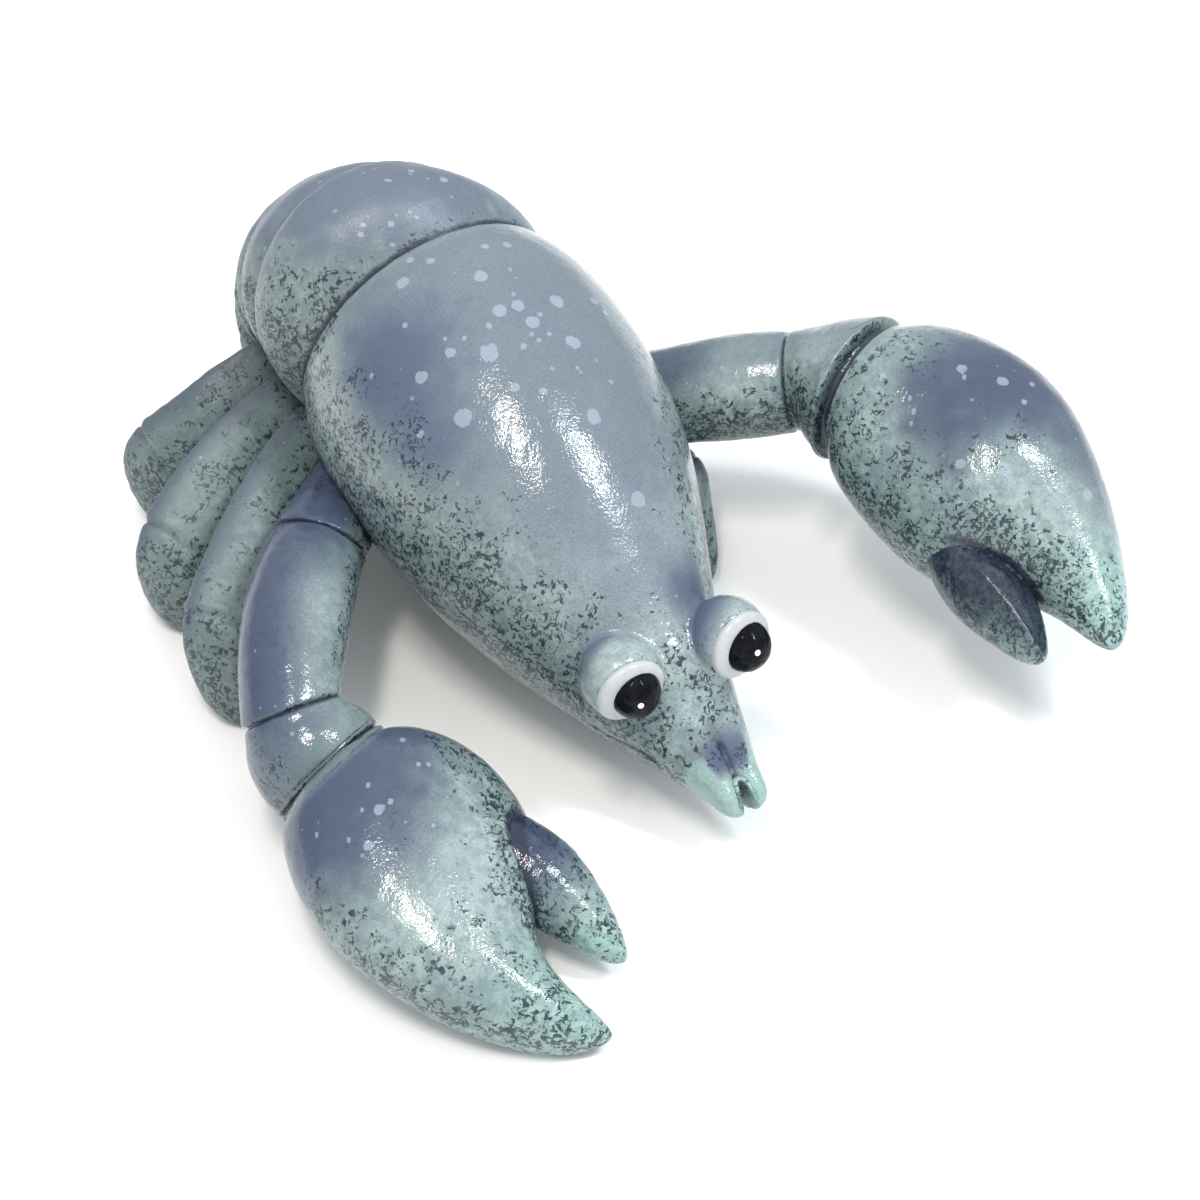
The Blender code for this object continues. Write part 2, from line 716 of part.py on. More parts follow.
def split_cutter():
    """Wedge that parts the snout into two prongs."""
    shape = bmesh.new()
    bmesh.ops.create_cube(shape, size=1.0)
    tip = body_point(1.0) + FORWARD * SPLIT_OVERRUN
    for corner in shape.verts:
        forward = corner.co.y < 0
        width = SPLIT_WIDTH if forward else SPLIT_ROOT
        rise = BODY_UP * SPLIT_DEPTH * (1 if corner.co.z > 0 else -1)
        place = tip - (Vector() if forward else FORWARD * SPLIT_LENGTH)
        corner.co = (place + rise + ACROSS * width * (1 if corner.co.x > 0 else -1) / 2) * MM
    bmesh.ops.recalc_face_normals(shape, faces=shape.faces)
    mesh = bpy.data.meshes.new("split")
    shape.to_mesh(mesh)
    shape.free()
    return add_cutter("cut_snout", mesh)


def grown(name, form):
    return add_cutter("cut_" + name, form.mesh(SEAM))


def stand_over_origin():
    """Moves everything so that the middle of the figurine's box stands over the origin."""
    bpy.context.view_layer.update()
    graph = bpy.context.evaluated_depsgraph_get()
    corners = []
    for part in PARTS.objects:
        corners += [Vector(corner) for corner in part.evaluated_get(graph).bound_box]
    low = [min(corner[k] for corner in corners) for k in range(3)]
    high = [max(corner[k] for corner in corners) for k in range(3)]
    shift = Vector((-(low[0] + high[0]) / 2, -(low[1] + high[1]) / 2, -low[2]))
    for item in list(PARTS.objects) + list(CUTTERS.objects):
        item.location = shift


def build():
    finishes = {
        "shell": finish("shell", SHELL_BLUE, LACQUER),
        "limb": finish("limb", SHELL_GREEN, LACQUER),
        "tip": finish("tip", TIP_MINT, LACQUER),
        "white": finish("eye_white", EYE_WHITE, 0.2),
        "black": finish("pupil_black", PUPIL_BLACK, 0.06),
    }
    shell = carapace_form()
    carapace = add_part("carapace", shell.mesh(), finishes["shell"])
    carve(carapace, split_cutter())
    over_carapace = grown("carapace", shell)
    for sign in SIDES:
        build_eye(sign, carapace, finishes)
    over_rings = []
    for k in range(len(RING_SWELL)):
        form = abdomen_form(k)
        name = "abdomen_ring_" + str(k + 1)
        add_part(name, form.mesh(), finishes["shell"])
        over_rings.append(grown(name, form))
    belly = sternum_form()
    sternum = add_part("sternum", belly.mesh(), finishes["limb"])
    carve(sternum, over_carapace, over_rings[0], over_rings[1])
    over_sternum = grown("sternum", belly)
    over_lobes = [over_rings[-1], over_rings[-2]]
    telson_form = lobe_form(TELSON_WIDTHS, 0.0, 1.0, 0.0, 0.0)
    carve(add_part("telson", telson_form.mesh(), finishes["limb"]), *over_lobes)
    over_telson = grown("telson", telson_form)
    for sign, side in SIDES.items():
        above = [over_telson]
        for k, label in enumerate(("inner", "outer")):
            splay = UROPOD_SPLAY[k] * -sign
            form = lobe_form(UROPOD_WIDTHS, splay, UROPOD_LENGTH[k], UROPOD_DROP[k], UROPOD_ROOT[k] * sign)
            name = "uropod_" + label + "_" + side
            carve(add_part(name, form.mesh(), finishes["limb"]), *(over_lobes + above))
            above.append(grown(name, form))
    for side in SIDES.values():
        forms, joints = arm_forms(side)
        over_arm = []
        for name, form in forms.items():
            piece = add_part(name + "_" + side, form.mesh(), finishes["limb"])
            if name != "wrist":
                carve(piece, over_carapace, over_sternum)
                over_arm.append(grown(name + "_" + side, form))
        palm_form, finger_form = claw_forms(side, joints[WRIST_ROW])
        palm = add_part("claw_" + side, palm_form.mesh(), finishes["shell"])
        add_part("claw_finger_" + side, finger_form.mesh(), finishes["tip"])
        carve(palm, grown("finger_" + side, finger_form))
        before = over_arm
        for k, rows in enumerate(LEGS[side]):
            upper, foot = leg_forms(rows)
            label = side + "_" + str(k + 1)
            leg = add_part("leg_" + label, upper.mesh(), finishes["limb"])
            carve(leg, over_carapace, *over_rings, over_sternum)
            carve(leg, *before)
            before = [grown("leg_" + label, upper)]
            add_part("foot_" + label, foot.mesh(), finishes["tip"])
    stand_over_origin()


build()
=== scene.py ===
"""Lobster figurine: its sculpted and painted pieces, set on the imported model, on a pale floor."""

import math

import bmesh
import bpy
import numpy as np
from mathutils import Matrix, Vector
from mathutils.bvhtree import BVHTree


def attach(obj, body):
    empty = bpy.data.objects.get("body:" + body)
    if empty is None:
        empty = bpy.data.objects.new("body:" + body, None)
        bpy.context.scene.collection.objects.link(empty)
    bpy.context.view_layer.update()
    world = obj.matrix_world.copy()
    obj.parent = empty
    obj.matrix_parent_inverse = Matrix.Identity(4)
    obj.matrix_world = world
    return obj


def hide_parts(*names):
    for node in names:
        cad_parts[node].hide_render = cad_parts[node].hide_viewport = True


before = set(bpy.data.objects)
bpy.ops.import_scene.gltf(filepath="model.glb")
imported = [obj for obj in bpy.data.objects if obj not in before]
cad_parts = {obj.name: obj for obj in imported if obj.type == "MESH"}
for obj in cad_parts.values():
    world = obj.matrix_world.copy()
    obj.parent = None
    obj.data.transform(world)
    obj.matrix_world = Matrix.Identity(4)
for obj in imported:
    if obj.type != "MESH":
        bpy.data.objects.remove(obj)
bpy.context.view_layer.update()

# Lengths are millimetres from the point of the table under the body line, and SHIFT takes
# them to the middle of the figurine's box. The lobster faces -Y and its left is +X.
MM = 0.001
SAME_PLACE = 1e-7
SHIFT = Vector((-8.55, 23.236, 0.0))
SIDES = {1: "left", -1: "right"}
ACROSS = Vector((1, 0, 0))
SKY = Vector((0, 0, 1))


def turned(vector, degrees, axis):
    return Matrix.Rotation(math.radians(degrees), 3, axis) @ Vector(vector)


def way_of(heading, dip=0.0):
    """Unit vector turned from -Y towards +X by heading and down by dip."""
    return turned(turned((0, -1, 0), dip, "X"), heading, "Z")


# Body line.
RIM = Vector((0.0, 18.9, 53.0))
FORWARD = turned((0, -1, 0), 15.0, "X")
BODY_UP = turned((0, 0, 1), 15.0, "X")
CARAPACE_LENGTH = 128.0
NOSE_DROOP = 6.8
# Share of the length, half width, height over and depth under the axis, sway to the left.
CARAPACE_RINGS = (
    (0.00, 31.6, 33, 29, 0),
    (0.06, 34, 35.3, 30.6, 0),
    (0.14, 35.8, 36.7, 31.5, 0),
    (0.28, 36.2, 36.3, 30.9, -0.2),
    (0.43, 33, 33.4, 28.5, -0.8),
    (0.575, 26.2, 27.2, 24.2, -2.1),
    (0.71, 18.2, 19.6, 19.2, -2.6),
    (0.82, 12.4, 12.4, 14, -1.6),
    (0.91, 8.4, 7.2, 9.6, -0.5),
)
# The rolled rear rim: distance in front of the rim plane, and how far in from its first ring.
RIM_ROLL = ((3, 7.5), (0.6, 4.2), (-0.2, 1.7), (0.5, 0.35), (2, 0))
SNOUT_HALF_WIDTH = 6.2
# Distance in front of the nose, share of the half width, and half height.
SNOUT_RINGS = ((-5, 1, 4.8), (-1.6, 0.92, 4.1), (1, 0.72, 2.5))
SNOUT_TIP = 1.9
SNOUT_MIDDLE = -0.3
# The wedge that parts the snout into prongs: its front, in front of the nose, and its sizes.
WEDGE_START = 4.0
WEDGE_LENGTH = 9.5
WEDGE_HALF_HEIGHT = 9.0
WEDGE_MOUTH = 4.4
WEDGE_ROOT = 0.3
# Relief of the snout: width, where along the body it starts and is full, and depth.
TROUGH = (3.2, 103, 110, 1.5)
GROOVE = (0.6, 110, 116, 0.6)
RIDGES = (1.3, 108, 119, -0.35)
RIDGE_ASIDE = 4.6
# The bulge of the brow, and the line of its coarse ripple.
BROW = (-1.5, -81, 38)
BROW_LINE = (
    (-2.2, -72, 46), (-1.5, -80, 39), (-1, -86, 32.5), (-0.8, -93, 25.5),
    (-0.5, -100, 20),
)
# The mouth's lines: x on the right and on the left, y and height.
MOUTH = (
    (-16.9, 12.3, -73, 19.4), (-15.6, 11.2, -75.6, 18.2), (-14, 10.2, -79, 18.6),
    (-12.5, 9.3, -83.9, 18.8), (-11.4, 8.6, -86.6, 17.6),
)
MOUTH_CREASE = 0.55
BROW_REACH = 4.5
# The ripple's reach, the size of its waves, and its height.
RIPPLE = (5.0, 1.8, 0.17)
SHELL_VOXEL = 0.61

# Eyes: the point between them, half their spread, and the turn of the line through both.
EYE_MID = (-2.05, -78.75, 36.32)
EYE_SPREAD = 12.15
EYE_TURN = 4.1
# Lids: radius of the ball, angles of its rings, the lip as distance ahead and radius, and the floor.
LID_RADIUS = 8.4
LID_ANGLES = (-75, -50, -25, 0, 20)
LID_LIP = ((4, 7.35), (4.25, 7), (4.2, 4))
LID_FLOOR = 4.15
# Where the fillet round a lid starts to fade and ends, over the ball.
LID_FILLET = (1.5, 4.5)
# The white disc, as distance ahead and radius, and the pupil's dome on it.
WHITE_ROWS = (
    (2.4, 6.6), (3.3, 7.2), (4.2, 7.5), (4.85, 7.35), (5.15, 6.9), (5.45, 6.1), (5.8, 4.6), (6, 2.4),
)
PUPIL_RADIUS = 5.3
PUPIL_ANGLES = (-30, -12, 0, 15, 30, 45, 60, 74)
PUPIL_DEPTH = 5.0
PUPIL_SET = 0.6
PUPIL_STRETCH = 1.05
# Lift and turn of each gaze, and the painted glint of each pupil: place and radius.
GAZE = {"right": (-4.1, -4.1), "left": (4.6, 8.4)}
GLINTS = {"right": (-15.70, -87.73, 37.05, 0.62), "left": (10.95, -89.41, 38.78, 0.64)}

# Abdomen: fan angle, crest and belly from the fan's middle line, half width, swing to the right.
FAN_RADIUS = 42.0
PIVOT = RIM - BODY_UP * FAN_RADIUS
JOINT_PLANES = (
    (0, 32, -30, 30.5, 0),
    (19, 31, -20, 25.8, 7),
    (33, 25, -16, 22.8, 7.2),
    (45, 18.5, -16, 20.2, 7),
    (56, 12.5, -18, 18.5, 7),
    (67, 7, -20, 17, 7.5),
    (80, 2, -22, 15.5, 7.5),
)
# Swell of each ring's crest and sides over its joints.
RING_SWELL = ((6.3, 3.2), (3.5, 2.4), (3.2, 2), (2.8, 2), (2.6, 2), (2.4, 1.8))

# Tail fan: path of a lobe as distance back and height, then its thickness and widths.
LOBE_PATH = ((-3, 27), (1, 18), (7, 10), (15, 5.2), (24, 3.6), (29, 3))
LOBE_THICKNESS = (4, 4.2, 4.2, 3.6, 2.8)
TELSON_WIDTHS = (7, 8.5, 10, 10.5, 8)
UROPOD_WIDTHS = (5, 7, 9.5, 10, 7.5)
FAN_ROOT = Vector((-7.5, 58, 0))
# Name, widths, splay, share of the path's length, drop and distance of the root to the left.
LOBES = (
    ("telson", TELSON_WIDTHS, 0, 1, 0, 0),
    ("uropod_inner_left", UROPOD_WIDTHS, -22, 0.95, 1.5, 7),
    ("uropod_outer_left", UROPOD_WIDTHS, -42, 0.84, 2.6, 12),
    ("uropod_inner_right", UROPOD_WIDTHS, 22, 0.95, 1.5, -7),
    ("uropod_outer_right", UROPOD_WIDTHS, 42, 0.84, 2.6, -12),
)
LOBE_FLOOR = 2.2
# A lobe's midrib, as half width and height, and its fine ribs, as spacing and height.
MIDRIB = (1.1, 0.7)
FINE_RIBS = (2.4, 0.16)

# Breast plate: place along the body and half width.
BREAST_MID = 15.0
BREAST_ROWS = ((-28.1, 14.3), (-11.8, 21.9), (10.4, 23), (28.9, 18.4))
BREAST_DEPTH = 8.0
BREAST_ENDS = ((0, -34, 19), (0, 40, 15))
BREAST_GROOVES = (-18, -4, 10, 24)
GROOVE_WIDTH = 0.9
GROOVE_DEPTH = 0.8

# Walking legs: ridge point, way from the ridge to the lower edge, thickness.
LEGS = {
    "right_1": (
        ((-21, 30, 42), (4, -9, -16), 7),
        ((-42, 20, 38), (5, -13, -18), 8.4),
        ((-57, 10, 33), (6, -15, -19), 10),
        ((-69, 1, 28), (9, -16, -17), 11.5),
        ((-74.5, -2, 19), (12, -16, -12), 12),
        ((-74, -5, 10), (11, -14, -7), 11),
        ((-72, -7, 1), (9, -10, -3), 9),
    ),
    "right_2": (
        ((-19, 39, 42), (4, -8, -15), 6.5),
        ((-37, 35.5, 40.5), (5, -12, -18), 7.6),
        ((-52, 32, 35), (6, -14, -19), 9.6),
        ((-65, 27.5, 28), (9, -15, -17), 11.5),
        ((-71, 26, 19.5), (12, -14, -12), 12),
        ((-70.5, 25.5, 10), (11, -12, -7), 11),
        ((-68, 25, 1), (9, -9, -3), 9),
    ),
    "right_3": (
        ((-18, 49, 44), (4, -7, -14), 6),
        ((-36, 47.5, 41.5), (5, -10, -17), 7.2),
        ((-46, 49, 35.5), (6, -12, -18), 9),
        ((-54.5, 54, 27.5), (9, -12, -16), 10.8),
        ((-58.5, 57, 19.5), (11, -11, -11), 11.2),
        ((-57.5, 57, 10), (10, -10, -7), 10.2),
        ((-55, 56, 1), (8, -8, -3), 8.4),
    ),
    "right_4": (
        ((-17, 56, 35), (4, -4, -12), 5),
        ((-30, 56.5, 34), (5, -6, -13), 6),
        ((-36, 58, 31), (6, -7, -13), 7),
        ((-41, 60, 25), (7, -7, -11), 8),
        ((-43.5, 62, 17), (8, -7, -8), 8.4),
        ((-42.5, 62, 9), (7, -6, -5), 7.8),
        ((-40.5, 61, 1), (6, -5, -3), 6.6),
    ),
    "left_1": (
        ((18, 14, 25), (-4, -5, -11), 7),
        ((30, 3, 23.5), (-6, -5, -13), 8),
        ((40, -6, 22.6), (-8, -5, -14), 9.2),
        ((47, -14.5, 22.2), (-9, -6, -15), 10.2),
        ((46.6, -21.5, 20.5), (-10, -7, -11), 10.4),
        ((44.2, -26, 12), (-10, -7, -7), 9.6),
        ((41, -28.5, 1), (-8, -6, -3), 8.2),
    ),
    "left_2": (
        ((12, 37, 43), (-4, -9, -15), 6.5),
        ((36, 28, 40), (-5, -12, -18), 7.6),
        ((45, 22, 35), (-6, -13, -19), 9.6),
        ((51, 17.5, 27.5), (-9, -14, -16), 11),
        ((54, 16, 18), (-11, -13, -11), 11.4),
        ((53, 15, 9.5), (-10, -12, -7), 10.4),
        ((50, 14, 1), (-8, -9, -3), 8.6),
    ),
    "left_3": (
        ((4, 48, 43), (-3, -7, -14), 6),
        ((28, 45, 42), (-5, -10, -17), 7.2),
        ((43, 41.5, 35), (-6, -12, -18), 9),
        ((49, 41, 27.5), (-9, -12, -16), 10.6),
        ((52, 41, 18.5), (-11, -11, -11), 11),
        ((51, 40.5, 9.5), (-10, -10, -7), 10),
        ((48, 39.5, 1), (-8, -8, -3), 8.2),
    ),
    "left_4": (
        ((0, 57, 36), (-3, -4, -12), 5),
        ((22, 57, 36), (-4, -6, -14), 6),
        ((38, 59, 29.5), (-6, -7, -15), 7.4),
        ((42.5, 62, 23.5), (-8, -7, -13), 8.6),
        ((45, 64.5, 16.5), (-9, -7, -9), 9),
        ((44, 64.5, 9), (-8, -6, -6), 8.2),
        ((41.5, 63.5, 1), (-7, -5, -3), 6.8),
    ),
}
KNEE_ROW = 3
# The knee's crease and the bulge before it: place along the leg, half width and depth.
KNEE_RELIEF = ((0.0, 0.55, 0.75), (-1.9, 1.3, -0.35))
LEG_PROFILE = (1.05, 0.86, 1.05, 0.86, 1.05, 1, 0.98, 1)

# Arms: centre and radius of each row.
ARMS = {
    "right": (
        ((-20, 14, 30), 8),
        ((-31, 3, 31.4), 9),
        ((-42.6, -7.6, 33), 9.8),
        ((-46.6, -11.8, 33.8), 10.4),
        ((-51.8, -17.6, 34.2), 10.9),
        ((-59, -26.5, 34.2), 11.3),
        ((-65.2, -35.5, 32), 11),
        ((-69.6, -44, 27.8), 10.3),
        ((-69.7, -47.6, 24.4), 13),
        ((-68.7, -51.3, 20.8), 13.7),
        ((-67.1, -54.5, 18), 13.2),
    ),
    "left": (
        ((18, 6, 28), 8),
        ((30, 0.5, 30.5), 9),
        ((38.5, -4, 32.6), 9.8),
        ((42.5, -7, 33.6), 10.4),
        ((48, -11.3, 35.2), 10.9),
        ((54, -16.2, 37.2), 11.6),
        ((60, -21, 39), 11.6),
        ((65.5, -25.4, 40.3), 10.8),
        ((69, -31, 41.6), 13.4),
        ((71.5, -35.5, 42.5), 15.6),
        ((74.2, -39.6, 43), 16.6),
    ),
}
# Row of a joint, heading and dip of its plane, and the profile cut round it.
WRIST_ROW = 10
ARM_JOINTS = {
    "right": {2: (-51, 26, "crease"), 7: (-6, 40, "crease"), WRIST_ROW: (20, 28, "collar")},
    "left": {2: (59, -12, "crease"), 7: (46.7, -15, "crease"), WRIST_ROW: (16, 0, "slot")},
}
# Distance along the arm from a joint and the change of radius there.
JOINT_PROFILES = {
    "crease": ((-1.6, 0.3), (-0.5, 0.4), (0, -1.3), (0.5, 0.35), (1.6, 0.25)),
    "collar": ((-2.1, 0.2), (-1.3, 0.5), (-0.9, -1.1), (-0.45, 0.6), (0.6, 0.55), (1.1, -0.5), (1.8, 0)),
    "slot": ((-3, 0.2), (-1.8, 0.4), (-1.35, -2.8), (0.95, -3), (1.4, 0.1), (2.8, 0.2)),
}
# Claws: centre, heading, half width, height over and depth under.
PALMS = {
    "right": (
        ((-65.8, -60.5, 17.4), 6, 17.8, 16, 16.2),
        ((-64.2, -68.5, 17), 6, 22.6, 18.7, 17),
        ((-63.6, -79, 15.8), 6, 25, 17.1, 17),
        ((-63.5, -90, 14.6), 8, 24, 14.5, 16),
        ((-64.2, -101, 12.8), 12, 19.2, 12, 14.5),
        ((-64.8, -112, 10.2), 22, 12, 10, 12),
        ((-60, -121.8, 7.4), 38, 7.4, 8, 9),
        ((-55, -127.5, 5.6), 46, 4.4, 5, 6),
    ),
    "left": (
        ((76.2, -45, 43.4), 12, 20.2, 18, 17),
        ((78, -53.5, 43), 6, 23.2, 18.4, 17),
        ((80, -64, 41), 4, 24.6, 17.6, 16.4),
        ((80.8, -75, 39), 0, 24.2, 18.6, 15.5),
        ((81.4, -86, 36.2), -4, 20.2, 17.8, 14),
        ((84.6, -96.6, 33), -10, 12.6, 13, 11),
        ((82.8, -107.5, 30.2), -24, 7.4, 8.4, 7.6),
        ((80.8, -114.5, 28.8), -30, 4.5, 5.2, 4.6),
    ),
}
CLAW_TIPS = {"right": (-48.8, -133, 4), "left": (78.2, -120.8, 28)}
# Roll of the fingers and of the palms about their length.
CLAW_ROLL = {"right": 12, "left": 16.0}
PALM_ROLL = {"right": -3, "left": 34.0}
FINGERS = {
    "right": (
        ((-50.5, -79, 16), 18, 5.5, 6),
        ((-48.2, -87.8, 15.4), 18, 8, 8.6),
        ((-45, -96.6, 13.6), 12, 9, 8.4),
        ((-42.9, -105.4, 11), 8, 7.2, 6.6),
        ((-41, -113.2, 8.4), 6, 4.3, 4.2),
    ),
    "left": (
        ((68, -74, 33), -8, 5, 5),
        ((67.2, -83.2, 31.6), -8, 7.8, 7.2),
        ((67, -91.1, 30.2), -4, 9.2, 8.6),
        ((67.4, -101.2, 28.2), 0, 7.2, 7),
        ((66.9, -108.5, 26.6), 4, 4.2, 4.4),
    ),
}
FINGER_TIPS = {"right": (-38.8, -121.4, 5), "left": (66.4, -114, 25)}
FINGER_ROOT = 4.0
FINGER_PROFILES = {
    "right": (1.04, 0.96, 1, 1, 1, 1, 1, 0.98),
    "left": (0.92, 0.76, 1.08, 0.93, 1, 1, 1, 0.95),
}

# How near another part brings dark wash, painted shade and speckle into the crevice, and how far a joint's
# wash reaches.
CROWD_REACH = 5.0
JOINT_REACH = 24.0
# The most that the drop and glint layers say of a distance.
FIELD_LIMIT = 2.0
# Pale drops of thinned paint: centre and radius. Each lands on the nearest surface within DROP_CATCH.
DROP_CATCH = 3.0
DROPS = (
    (-13.8, 3.2, 81.8, 1.4), (-7, 4.1, 84.1, 0.9), (-1.2, -6, 83.5, 1.5), (4.8, 1.5, 84.2, 0.9),
    (9.3, 0.6, 83.2, 1), (-2.3, -15, 81, 1.5), (1.9, -15.5, 80.9, 1.4), (2.6, -20, 79.2, 1.6),
    (10.6, -16.4, 78.9, 1.6), (8.4, -26.2, 75.9, 1.6), (-15.2, -16.6, 77.2, 1.1),
    (-8.7, -21.5, 77.9, 2), (-21.5, -16.4, 73.2, 1.3), (-19.1, -28.1, 70.3, 1.9),
    (-26.2, -23.3, 66, 0.9), (-8, -30, 74.6, 1), (-3.7, -33.3, 73.7, 0.8), (3.1, -41.2, 69.4, 1.6),
    (4.3, -56.6, 58.4, 1.7), (-14.4, -13.8, 78.3, 0.5), (-11.2, -16, 78.9, 0.6), (-5.7, -17, 80, 0.7),
    (-18.4, -5.5, 78.1, 0.6), (1.1, -22.1, 78.7, 0.6), (4.5, -23.1, 77.9, 0.6), (1.5, -23.7, 78, 0.6),
    (-1.9, -23.8, 78, 0.7), (5.3, -18.4, 79.5, 0.6), (2.6, -12.2, 81.8, 0.5), (11.4, -35.4, 70.3, 0.6),
    (5.9, -31.7, 74, 0.5), (-9.9, 7.7, 83.2, 0.9), (20.6, -14.8, 74.2, 1.1), (21.2, -17.7, 72.7, 0.8),
    (-24.5, -17.2, 70.1, 0.5), (-27.5, -6.5, 69.8, 0.6), (6.4, 21.1, 88.1, 1), (-4.5, 24.5, 90.5, 0.7),
    (1.6, 25.5, 89.9, 0.8), (-8.6, 16.2, 86.1, 0.7), (-15.3, 17.9, 84.9, 0.7), (-13.9, 19, 86.2, 0.6),
    (-10.4, 13.8, 83.2, 0.6), (-3.3, 15.4, 86.2, 0.5), (82, -60.9, 59.9, 1.1), (86.6, -68, 57.9, 1.3),
    (87.2, -74.2, 56.2, 0.7), (91.8, -71, 56.3, 0.8), (69.9, -59.6, 57.5, 0.6), (68.3, -62.3, 56, 0.7),
    (67.2, -63.8, 54.9, 0.5), (67.7, -52.1, 58.4, 0.9), (61.5, -34.2, 52.2, 0.6),
    (63.3, -35.8, 54.4, 0.7), (81, -62.9, 59.3, 0.6), (75.9, -83.1, 51.3, 1.5), (71.8, -81.6, 50.3, 1),
    (69.8, -77, 51.6, 1.1), (76.3, -92, 45.4, 1.1), (89.6, -94.2, 46.2, 1.3), (96.3, -90.1, 45.2, 1),
    (64.3, -77.6, 47.1, 0.5), (98.4, -74.1, 52.3, 0.8), (-75.1, -83.9, 28.5, 1.1),
    (-77.6, -80.8, 27.7, 0.6), (-69.1, -74.2, 32.5, 0.6), (-70.4, -79.7, 31.2, 1.1),
    (-68, -79.1, 32, 0.7), (-73, -78, 30.6, 0.5), (-58.1, -74.8, 33.2, 0.6), (-56.9, -75, 33, 0.6),
    (-62.8, -87.2, 31, 0.5), (-80.3, -75.5, 26.8, 0.6), (-77.8, -93.1, 24.7, 0.7),
    (-58.1, -67.5, 33.5, 0.7),
)
# Airbrushed blue: centre, reach and strength.
BLUE_SHELL = (
    ((-24.6, -9.2, 72.8), 20, 0.95), ((-26.5, -24.7, 65.6), 16, 0.6), ((7.1, -71, 43.4), 10, 0.75),
    ((-19.5, -69, 43), 6, 0.4), ((-1.5, -96, 22.5), 9, 0.9), ((3, -98, 20), 7.5, 0.9),
)
BLUE_LEFT_CLAW = (
    ((88.5, -67.1, 57.5), 28, 0.95), ((101, -86, 45), 30, 0.65), ((74, -62, 56.5), 17, 0.7),
    ((72, -72, 53), 14, 0.5),
)
BLUE_RIGHT_CLAW = (
    ((-75.5, -67, 30), 34, 1), ((-58, -64, 34), 20, 0.55), ((-84, -72, 22), 20, 0.6),
    ((-72, -86, 27), 24, 0.42),
)
BLUE_RIGHT_FINGER = (((-46, -94, 18.5), 18, 1),)
BLUE_ARMS = (
    ((-38.7, -3.3, 40.9), 13, 1), ((-30, 6, 40), 14, 1), ((-34, 0, 40), 10, 0.6),
    ((-46, -10, 44), 15, 0.85), ((-54, -20, 45), 12, 0.4),
    ((-72.8, -50, 34), 14, 0.45), ((44, -9, 44), 14, 0.7),
)
# Pale sponged ground, and painted highlight on the brow, the snout's trough, the right wrist and the
# claws' fronts: centre, reach and strength.
PALE_SHELL = (
    ((-14, -62, 46), 15, 0.8), ((-4, -79, 38), 9, 0.8), ((-3, -60, 54), 16, 0.5),
    ((-12, -90, 26), 8, 0.8), ((12, -60, 50), 18, 0.8), ((-2, -70, 46), 12, 0.6),
    ((-6, -76, 40), 12, 0.7), ((-20, -50, 52), 14, 0.5),
    ((-2.5, -88.5, 29.5), 7, 0.9),
)
PALE_RIGHT_CLAW = (
    ((-60, -98, 25), 25, 1), ((-75, -97, 18), 16, 0.7), ((-70, -104, 20), 14, 0.5),
)
PALE_LEFT_CLAW = (
    ((84, -96, 45), 22, 0.8), ((78, -86, 50), 15, 0.6), ((66, -58, 52), 12, 0.4),
)
PALE_ARMS = (
    ((-55, -34, 40), 14, 0.75), ((-62, -47, 34), 10, 0.7), ((-72, -45, 37), 11, 0.6),
    ((49.7, -24, 44), 12, 0.7), ((66, -33, 56), 12, 0.8), ((56, -19, 50), 12, 0.4),
)
# Where the left claw has little speckle, and the way that the right arm's blue side faces.
CLEAN_LEFT_CLAW = (((98, -96, 40), 30, 1),)
RIGHT_ARM_OUT = (-0.88, 0.32, 0.35)
# The inner edge of the right palm, the dark of the right shoulder, and the gape of the left claw.
RIGHT_PALM_EDGE = ((-45, -70, 28), (-42, -80, 24), (-45, -92, 21), (-51, -102, 17))
SHOULDER_SHADE = (((-36, 0, 41), 13, 1),)
LEFT_MOUTH = ((65, -87, 39.5), (70, -93, 36), (74.5, -99.5, 32.5))

# Colours, as linear red, green and blue.
# Pale sponging, which is also the colour of the painted highlights.
PALE_SPONGE_AND_HIGHLIGHT = (0.34, 0.41, 0.41)
# Dark sea green used for painted shade on the low, densely speckled parts, and for the paint's grain.
PAINTED_SHADE_AND_GRAIN = (0.085, 0.125, 0.13)
DROP_BLUE = (0.33, 0.39, 0.47)
SPECKLE_TEAL = (0.011, 0.028, 0.033)
SPECKLE_INDIGO = (0.018, 0.028, 0.065)
# Dark indigo of the wash in joints and creases, and of the painted shade in crevices and gapes.
CREASE_INDIGO = (0.011, 0.016, 0.036)
MINT = (0.28, 0.42, 0.395)
PALE_MINT = (0.30, 0.46, 0.43)
ENAMEL = (0.49, 0.50, 0.51)
ENAMEL_SHADE = (0.40, 0.42, 0.44)
PUPIL_BLACK = (0.004, 0.004, 0.005)
PUPIL_SHEEN = (0.009, 0.010, 0.013)
GLINT_WHITE = (0.85, 0.86, 0.87)
# Paints: ground, its second shade, airbrushed blue, mint, roughness and strength of the pale sponging and
# painted highlight.
PAINTS = {
    "shell_paint": ((0.215, 0.265, 0.275), (0.18, 0.232, 0.245), (0.074, 0.093, 0.158), MINT, 0.14, 0.8),
    "tail_paint": ((0.17, 0.21, 0.22), (0.145, 0.185, 0.195), (0.085, 0.105, 0.17), MINT, 0.4, 0.8),
    "limb_paint": ((0.112, 0.148, 0.152), (0.094, 0.13, 0.134), (0.050, 0.069, 0.115), MINT, 0.42, 0.3),
    "claw_paint": ((0.185, 0.24, 0.245), (0.155, 0.21, 0.22), (0.043, 0.059, 0.112), PALE_MINT, 0.14, 0.8),
}
# The node groups that the materials share, by name.
GROUPS = {}

# Studio. Lights: name, way to it, distance, width and height in metres, power in watts, colour.
LIGHTS = (
    ("warm_window", (-0.29, -0.20, 0.94), 1.3, 0.12, 0.36, 7.0, (1.0, 0.93, 0.85)),
    ("cool_window", (0.33, -0.38, 0.86), 1.3, 0.14, 0.36, 7.6, (0.88, 0.95, 1.0)),
)
